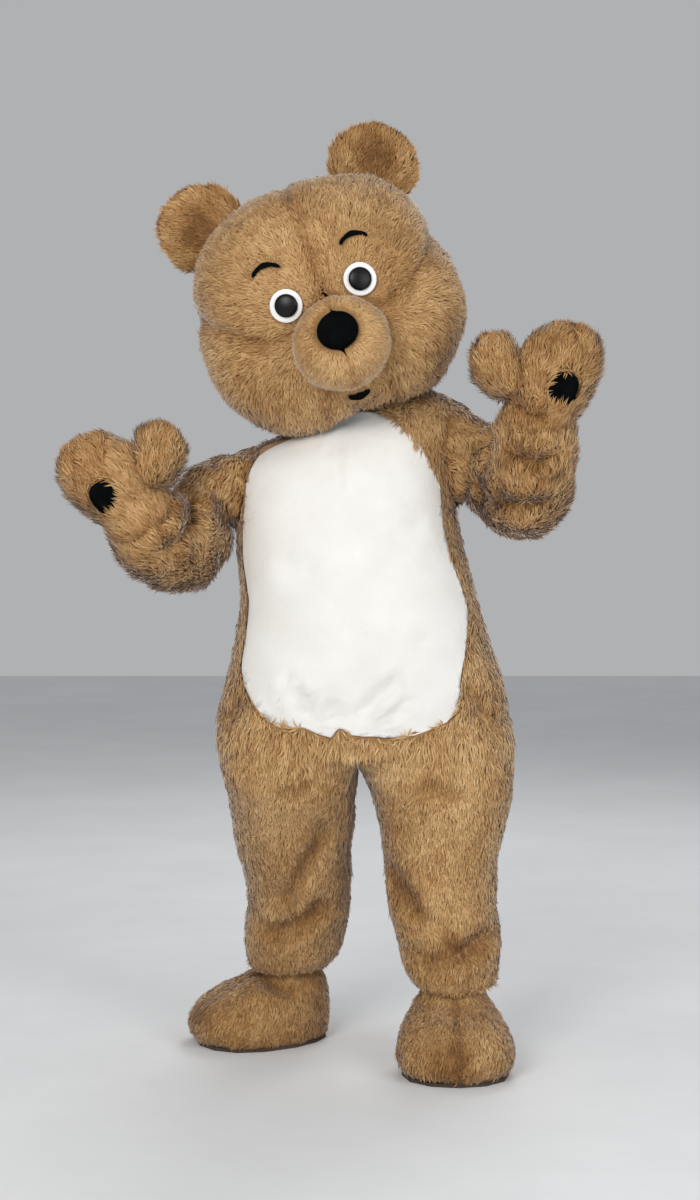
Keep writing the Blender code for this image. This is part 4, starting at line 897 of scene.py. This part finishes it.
SHAPING_SEEDS = 1000    # the shapes of the locks are drawn apart from their places
GOLDEN_PART = 0.6180339887
TUFT_SEEDS = (1, 2, 3)
TUFT_TONE_SEED = 4

FACE_REACH = 0.030      # how far from the laid-on pieces of the face the pile is combed
# Columns: bare strip, share of the length beside it, reach of that, way the locks lean off, its reach
BESIDE_FACE = (0.0008, 0.62, 0.020, 0.25, 0.014)
BESIDE_THIN = (0.0022, 0.40, 0.026, 1.6, 0.018)
LEAN_START = 0.002
FACE_LENGTH = 0.62      # share of the length round the muzzle
FACE_RADII = (0.15, 0.28)
RIM_LONGER = 0.5        # the headpiece's lower rim
RIM_HEIGHTS = (-0.15, -0.20)
RIM_RADII = (0.16, 0.30)
TRIM_MARGIN = 0.01
TRIM_START = 0.02       # the search for a laid-on piece starts this far under the skin
TRIM_SEARCH = 0.12
FRINGE_REACH = {"body": 0.014, "mitt": 0.006}
FRINGE_START = 0.001
FRINGE_CHANGE = 0.03
FRINGE_LEAN = 1.5
COLLAR_RADII = (0.16, 0.09)
COLLAR_HEIGHTS = (-0.06, 0.0)
COLLAR_LONGER = 0.5
COLLAR_FRINGE = 1.6
COLLAR_RISE = 2.4
HEM_REACH = 0.045       # the body's lower edge, where its pile falls over the legs
HEM_LONGER = 0.6
HEM_FLAT = 0.8
LEG_TOP = (-0.78, -0.66)
LEG_TOP_LONGER = 0.25
LEG_TOP_REACH = 0.035
LEG_TOP_FLAT = 1.1
LEG_LEAN = (-0.66, -0.82)       # the darker tone of the legs comes in between these heights

# Columns: wavelength and height of the pile's slow changes
SWIRL = (0.055, 0.45)
LIFT_CHANGE = (0.04, 8)
LENGTH_CHANGE = (0.07, 0.18)
TONE_CHANGE = (0.12, 0.13)
STRAY = 0.22
FRINGE_LIFT = 14        # degrees
LIFT_SPREAD = 6
TIP_BEND = 0.5          # how much lower a lock's outer half lies
TIP_DROOP = 0.18
LENGTH_RANGE = (0.72, 1.18)
ROOT_DEPTH = 0.0012
HALF_LOCK = 0.52
TUFTED_LENGTHS = (0.010, 0.022)
TUFT_PULLS = (0.13, 0.44)       # at the middle and at the tip of a lock
ROLL_SPREAD = 0.35
WIDTH_RANGE = (0.7, 1.3)
NARROWEST = 0.6         # width share of a lock that is cut to nothing
FLOOR_GAP = 0.0006
TONE = 0.56
TONE_SPREAD = 0.075
TUFT_TONE = 0.26
# how far the painted shade lowers a lock's tone
PAINTED_SHADE_TONE = 0.50
TONE_LIMITS = (0.03, 0.97)
NORMAL_MIX = (0.76, 0.24, 0.12)         # shares of the cloth, the lock's own face and the lock's way

# A lock is a kite: root, two middle corners and tip, in two triangles
KITE = np.array((0, 1, 2, 2, 1, 3))
KITE_TONES = np.array((0.0, 0.012, -0.012, 0.0))[KITE]
KITE_PLACES = np.array((0.03, 0.52, 0.52, 0.97))[KITE]

CLEAR_OF = [name for name in NODES if name in TRIM]
FACE_TRIM = [name for name in CLEAR_OF if kind_of(name) in ("eye", "brow", "mouth", "nose")]
THIN_TRIM = [name for name in CLEAR_OF if kind_of(name) in ("brow", "mouth")]
trim_points = {name: welds[name][0] for name in CLEAR_OF}
trim_trees = {
    name: BVHTree.FromPolygons(welds[name][0].tolist(), welds[name][1].tolist())
    for name in CLEAR_OF}


def from_share(start, share):
    """The start where the share is 0, and 1 where the share is 1."""
    return start + (1 - start) * share


def hash_cells(cells, seed):
    """A repeatable random number from 0 to 1 for each cell of a lattice."""
    mixed = np.bitwise_xor.reduce(cells * CELL_PRIMES, axis=1) ^ (seed * SEED_STEP)
    return np.mod(np.abs(mixed) * GOLDEN_PART, 1.0)


def tufts(points):
    """The middle of the tuft that each point belongs to, and a random number for the tuft."""
    cells = np.floor(points / CLUMP).astype(np.int64)
    offsets = np.column_stack([hash_cells(cells, seed) for seed in TUFT_SEEDS])
    return (cells + offsets) * CLUMP, hash_cells(cells, TUFT_TONE_SEED)


def sampled(mesh, density, seed, values):
    """Evenly random points on a mesh, with normals and values."""
    mesh.calc_loop_triangles()
    places = np.array([vert.co for vert in mesh.vertices], dtype=float)
    normals = np.array([vert.vector for vert in mesh.vertex_normals], dtype=float)
    triangles = np.array([tri.vertices for tri in mesh.loop_triangles])
    _, _, areas = triangle_facts(places, triangles)
    made = np.random.default_rng(seed)
    total = int(density * areas.sum())
    steps = (np.arange(total) + made.uniform(0, 1, total)) / total * areas.sum()
    chosen = np.searchsorted(np.cumsum(areas), steps).clip(0, len(areas) - 1)
    u, v = np.sqrt(made.uniform(0, 1, total)), made.uniform(0, 1, total)
    shares = np.column_stack((1 - u, u * (1 - v), u * v))
    picked = triangles[chosen]
    at = (places[picked] * shares[:, :, None]).sum(axis=1)
    facing = unit((normals[picked] * shares[:, :, None]).sum(axis=1))
    carried = (values[picked] * shares).sum(axis=1)
    return at, facing, carried


def nearest_trim(points, names, reach):
    """Distance to laid-on pieces and the way away from the nearest one, within reach."""
    away = np.full(len(points), reach)
    way = np.zeros((len(points), 3))
    for name in names:
        middle = trim_points[name].mean(axis=0)
        size = np.linalg.norm(trim_points[name] - middle, axis=1).max()
        near = np.where(np.linalg.norm(points - middle, axis=1) < size + reach)[0]
        for k in near:
            place, _, _, distance = trim_trees[name].find_nearest(Vector(points[k]))
            if distance < away[k]:
                away[k] = distance
                way[k] = points[k] - np.array(place)
    return away, unit(way)


def uncovered(points, normals, name):
    """Which points of a skin have no laid-on piece over them."""
    low = trim_points[name].min(axis=0) - TRIM_MARGIN
    high = trim_points[name].max(axis=0) + TRIM_MARGIN
    bare = np.ones(len(points), dtype=bool)
    for k in np.where(((points > low) & (points < high)).all(axis=1))[0]:
        start = Vector(points[k] - normals[k] * TRIM_START)
        bare[k] = trim_trees[name].ray_cast(start, Vector(normals[k]), TRIM_SEARCH)[0] is None
    return bare


def fringe_over(points, name, reach):
    """Locks near the border of a laid-on piece rise and lean over it."""
    away, way = nearest_trim(points, [name], reach)
    uneven = (0.5 + 0.5 * waves(points, FRINGE_CHANGE, SEEDS["fringe"])).clip(0, 1)
    near = smooth(reach, FRINGE_START, away) * uneven
    return near, -way * near[:, None] * FRINGE_LEAN


def combed_face(at):
    """Shorter locks that lean away from the eyes, the nose, the brows and the mouth."""
    keep = np.ones(len(at), dtype=bool)
    scale = np.ones(len(at))
    steer = np.zeros((len(at), 3))
    for names, row in ((FACE_TRIM, BESIDE_FACE), (THIN_TRIM, BESIDE_THIN)):
        bare, shortest, short_reach, lean, lean_reach = row
        away, way = nearest_trim(at, names, FACE_REACH)
        keep &= away > bare
        scale *= from_share(shortest, smooth(0.0, short_reach, away))
        steer += way * (1 - smooth(LEAN_START, lean_reach, away))[:, None] * lean
    return keep, scale, steer


def combed(name, at, facing):
    """Which locks stay, their share of the length, the way they lean and how much more they rise."""
    kind = kind_of(name)
    keep = np.ones(len(at), dtype=bool)
    scale = np.ones(len(at))
    steer = np.zeros((len(at), 3))
    fringe = np.zeros(len(at))
    if kind in ("head", "muzzle"):
        keep, scale, steer = combed_face(at)
    if kind == "body" or "palm" in name:
        laid_on = "belly_panel" if kind == "body" else "mitt_" + side_of(name) + "_pad"
        keep = uncovered(at, facing, laid_on)
        fringe, steer = fringe_over(at, laid_on, FRINGE_REACH[kind])
    if kind == "head":
        from_nose = np.linalg.norm(at - NOSE, axis=1)
        rim = smooth(*RIM_HEIGHTS, (at - HEAD_MIDDLE) @ HEAD_UP) * smooth(*RIM_RADII, from_nose)
        scale *= from_share(FACE_LENGTH, smooth(*FACE_RADII, from_nose))
        scale *= 1 + RIM_LONGER * rim
    if kind == "body":
        collar = smooth(*COLLAR_RADII, np.linalg.norm((at - COLLAR)[:, :2], axis=1))
        collar *= smooth(*COLLAR_HEIGHTS, at[:, 2])
        hem = smooth(HIP_HEIGHT + HEM_REACH, HIP_HEIGHT, at[:, 2])
        scale *= (1 + COLLAR_LONGER * collar) * (1 + HEM_LONGER * hem)
        fringe += COLLAR_FRINGE * collar - HEM_FLAT * hem
        steer[:, 2] += COLLAR_RISE * collar
    if kind == "leg":
        scale *= 1 + LEG_TOP_LONGER * smooth(*LEG_TOP, at[:, 2])
        fringe -= LEG_TOP_FLAT * smooth(HIP_HEIGHT - LEG_TOP_REACH, HIP_HEIGHT, at[:, 2])
    return keep, scale, steer, fringe


def pile_mesh(name, corners, tones, normals):
    """One mesh of all the locks, four corners each, with the tone and the place along in its map."""
    count = len(corners)
    mesh = bpy.data.meshes.new(name + "_pile")
    mesh.vertices.add(4 * count)
    mesh.vertices.foreach_set("co", corners.ravel())
    mesh.loops.add(len(KITE) * count)
    mesh.loops.foreach_set("vertex_index", (np.arange(count)[:, None] * 4 + KITE).ravel())
    mesh.polygons.add(2 * count)
    mesh.polygons.foreach_set("loop_start", np.arange(2 * count) * 3)
    mesh.polygons.foreach_set("use_smooth", np.ones(2 * count, dtype=bool))
    mesh.update(calc_edges=True)
    across_map = tones[:, None] + KITE_TONES
    along_map = np.tile(KITE_PLACES, (count, 1))
    layer = mesh.uv_layers.new(name=MAP_NAME)
    layer.data.foreach_set("uv", np.stack((across_map, along_map), axis=2).ravel())
    mesh.normals_split_custom_set_from_vertices(np.repeat(normals, 4, axis=0).tolist())
    mesh.materials.append(MATERIALS["fur"])
    return mesh


def pile_on(name, skin, painted_shade, seed):
    """A joined mesh of tapered, bent locks over one skin."""
    kind = kind_of(name)
    share, length, lift, width, lean = PILES[kind]
    if kind in ("body", "head", "leg") and "back" in name:
        share *= BACK_SHARE
    at, facing, depth = sampled(skin.data, LOCKS_PER_SQUARE_METRE * share, seed, painted_shade)
    keep, scale, steer, fringe = combed(name, at, facing)
    at, facing, depth = at[keep], facing[keep], depth[keep]
    scale, steer, fringe = scale[keep], steer[keep], fringe[keep]
    count = len(at)
    made = np.random.default_rng(seed + SHAPING_SEEDS)

    swirl = np.column_stack([waves(at, SWIRL[0], one) for one in SEEDS["swirl"]]) * SWIRL[1]
    stray = made.normal(size=(count, 3)) * STRAY
    way = run_of_cloth(name, at) + swirl + stray + steer
    way = unit(way - facing * (way * facing).sum(axis=1, keepdims=True))
    raised = lift + FRINGE_LIFT * fringe + LIFT_CHANGE[1] * waves(at, LIFT_CHANGE[0], SEEDS["lift"])
    raised = np.radians(raised + made.normal(0, LIFT_SPREAD, count))[:, None]
    first = way * np.cos(raised) + facing * np.sin(raised)
    second = way * np.cos(raised - TIP_BEND) + facing * np.sin(raised - TIP_BEND)
    second[:, 2] -= TIP_DROOP
    long = length * scale * made.uniform(*LENGTH_RANGE, count)
    long *= 1 + LENGTH_CHANGE[1] * waves(at, LENGTH_CHANGE[0], SEEDS["length"])
    tufted = smooth(*TUFTED_LENGTHS, long)
    half_way = long[:, None] * HALF_LOCK

    root = at - facing * ROOT_DEPTH
    mid = root + first * half_way
    tip = mid + unit(second) * half_way
    tuft_middles, tuft_tones = tufts(at)
    pull = tuft_middles - at
    pull -= facing * (pull * facing).sum(axis=1, keepdims=True)
    pull *= tufted[:, None]
    mid += pull * TUFT_PULLS[0]
    tip += pull * TUFT_PULLS[1]
    roll = made.normal(0, ROLL_SPREAD, count)[:, None]
    across = unit(unit(np.cross(way, facing)) + facing * roll)
    wide = width / 2 * made.uniform(*WIDTH_RANGE, count) * from_share(NARROWEST, scale)
    half = across * wide[:, None]
    for row in (mid, tip):
        row[:, 2] = np.maximum(row[:, 2], FLOOR_HEIGHT + FLOOR_GAP)

    if kind == "leg":
        lean = lean * smooth(*LEG_LEAN, at[:, 2])
    tones = TONE + lean + TONE_CHANGE[1] * waves(at, TONE_CHANGE[0], SEEDS["tone"])
    tones += made.normal(0, TONE_SPREAD, count) + TUFT_TONE * (tuft_tones - 0.5) * tufted
    # painted shade: darker locks in creases, along seams, in the ear's hollow and on the toes
    tones = np.clip(tones - PAINTED_SHADE_TONE * depth, *TONE_LIMITS)
    flat = unit(np.cross(half, first))
    flat *= np.sign((flat * facing).sum(axis=1, keepdims=True) + TINY)
    normals = unit(facing * NORMAL_MIX[0] + flat * NORMAL_MIX[1] + first * NORMAL_MIX[2])
    corners = np.stack((root, mid + half, mid - half, tip), axis=1)

    item = object_of(name + "_pile", pile_mesh(name, corners, tones, normals))
    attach(item, "root")
    return item


def slot_of(name):
    if name == "belly_panel":
        return "plush"
    if kind_of(name) in ("brow", "mouth") or name.endswith("_pad"):
        return "velvet"
    return "fur"


for seed, name in enumerate(sorted(NODES)):
    if name == "nose" or name.endswith(("_sole", "_pupil", "_white")):
        continue
    slot = slot_of(name)
    skin, painted_shade = skin_from(name, "fur_cloth" if slot == "fur" else slot)
    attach(skin, "root")
    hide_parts(name)
    [pile_on(name, skin, painted_shade, seed)] if slot == "fur" else []


# ---------------------------------------------------------------- discs of the eyes
DISC_SIDES = 48
DISC_RINGS = (0.0, 0.25, 0.5, 0.7, 0.85, 0.95, 1.0)     # shares of the radius
DISC_EDGE = 0.85        # where the rounded edge starts
DISC_WALL = 0.003
DISC_WELD = 1e-6
# Columns: finish, height of the dome, drop of the edge, height over the head, share of the radius
WHITE = ("eye_felt", 0.0015, 0.0012, 0.0005, 0.94)
PUPIL = ("pupil", 0.0045, 0.0015, 0.002, 1.06)


def domed_disc(name, finish, rise, edge, lift, radius_share):
    """A smooth disc laid on the head where the plain disc is, with a rounded edge."""
    points, triangles = outer_face(name)
    centres, normals, areas = triangle_facts(points, triangles)
    facing = unit((normals * areas[:, None]).sum(axis=0))
    middle = (centres * areas[:, None]).sum(axis=0) / areas.sum()
    flat = points - middle - np.outer((points - middle) @ facing, facing)
    radius = np.linalg.norm(flat, axis=1).max() * radius_share
    across = unit(np.cross(facing, (0.0, 0.0, 1.0)))
    bm = bmesh.new()
    profile = []
    for share in DISC_RINGS:
        drop = edge * max(0.0, (share - DISC_EDGE) / (1 - DISC_EDGE)) ** 2
        height = lift + rise * (1 - share ** 2) - drop
        profile.append(bm.verts.new(middle + across * radius * share + facing * height))
    profile.append(bm.verts.new(profile[-1].co - Vector(facing) * DISC_WALL))
    sides = [bm.edges.new(pair) for pair in zip(profile, profile[1:])]
    bmesh.ops.spin(
        bm, geom=profile + sides, cent=Vector(middle), axis=Vector(facing), angle=2 * math.pi,
        steps=DISC_SIDES, use_merge=True)
    bmesh.ops.remove_doubles(bm, verts=list(bm.verts), dist=DISC_WELD)
    bmesh.ops.holes_fill(bm, edges=list(bm.edges), sides=DISC_SIDES)
    bmesh.ops.recalc_face_normals(bm, faces=list(bm.faces))
    mesh = bpy.data.meshes.new(name + "_disc")
    bm.to_mesh(mesh)
    bm.free()
    for face in mesh.polygons:
        face.use_smooth = True
    mesh.materials.append(MATERIALS[finish])
    item = object_of(name + "_disc", mesh)
    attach(item, "root")
    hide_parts(name)
    return item


for side in SIDES:
    white = domed_disc("eye_" + side + "_white", *WHITE)
    domed_disc("eye_" + side + "_pupil", *PUPIL)

# ---------------------------------------------------------------- nose and soles
nose_mesh = bpy.data.meshes.new("nose_pad")
bm = mesh_of(*welds["nose"])
bmesh.ops.recalc_face_normals(bm, faces=list(bm.faces))
bm.to_mesh(nose_mesh)
bm.free()
for face in nose_mesh.polygons:
    face.use_smooth = True
nose_mesh.materials.append(MATERIALS["velvet"])
nose = object_of("nose_pad", nose_mesh)
rounded = nose.modifiers.new("rounded", "SUBSURF")
rounded.levels = ROUNDING
rounded.render_levels = ROUNDING
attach(nose, "root")
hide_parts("nose")

for side in SIDES:
    sole = NODES["boot_" + side + "_sole"]
    sole.data.materials.clear()
    sole.data.materials.append(MATERIALS["sole"])
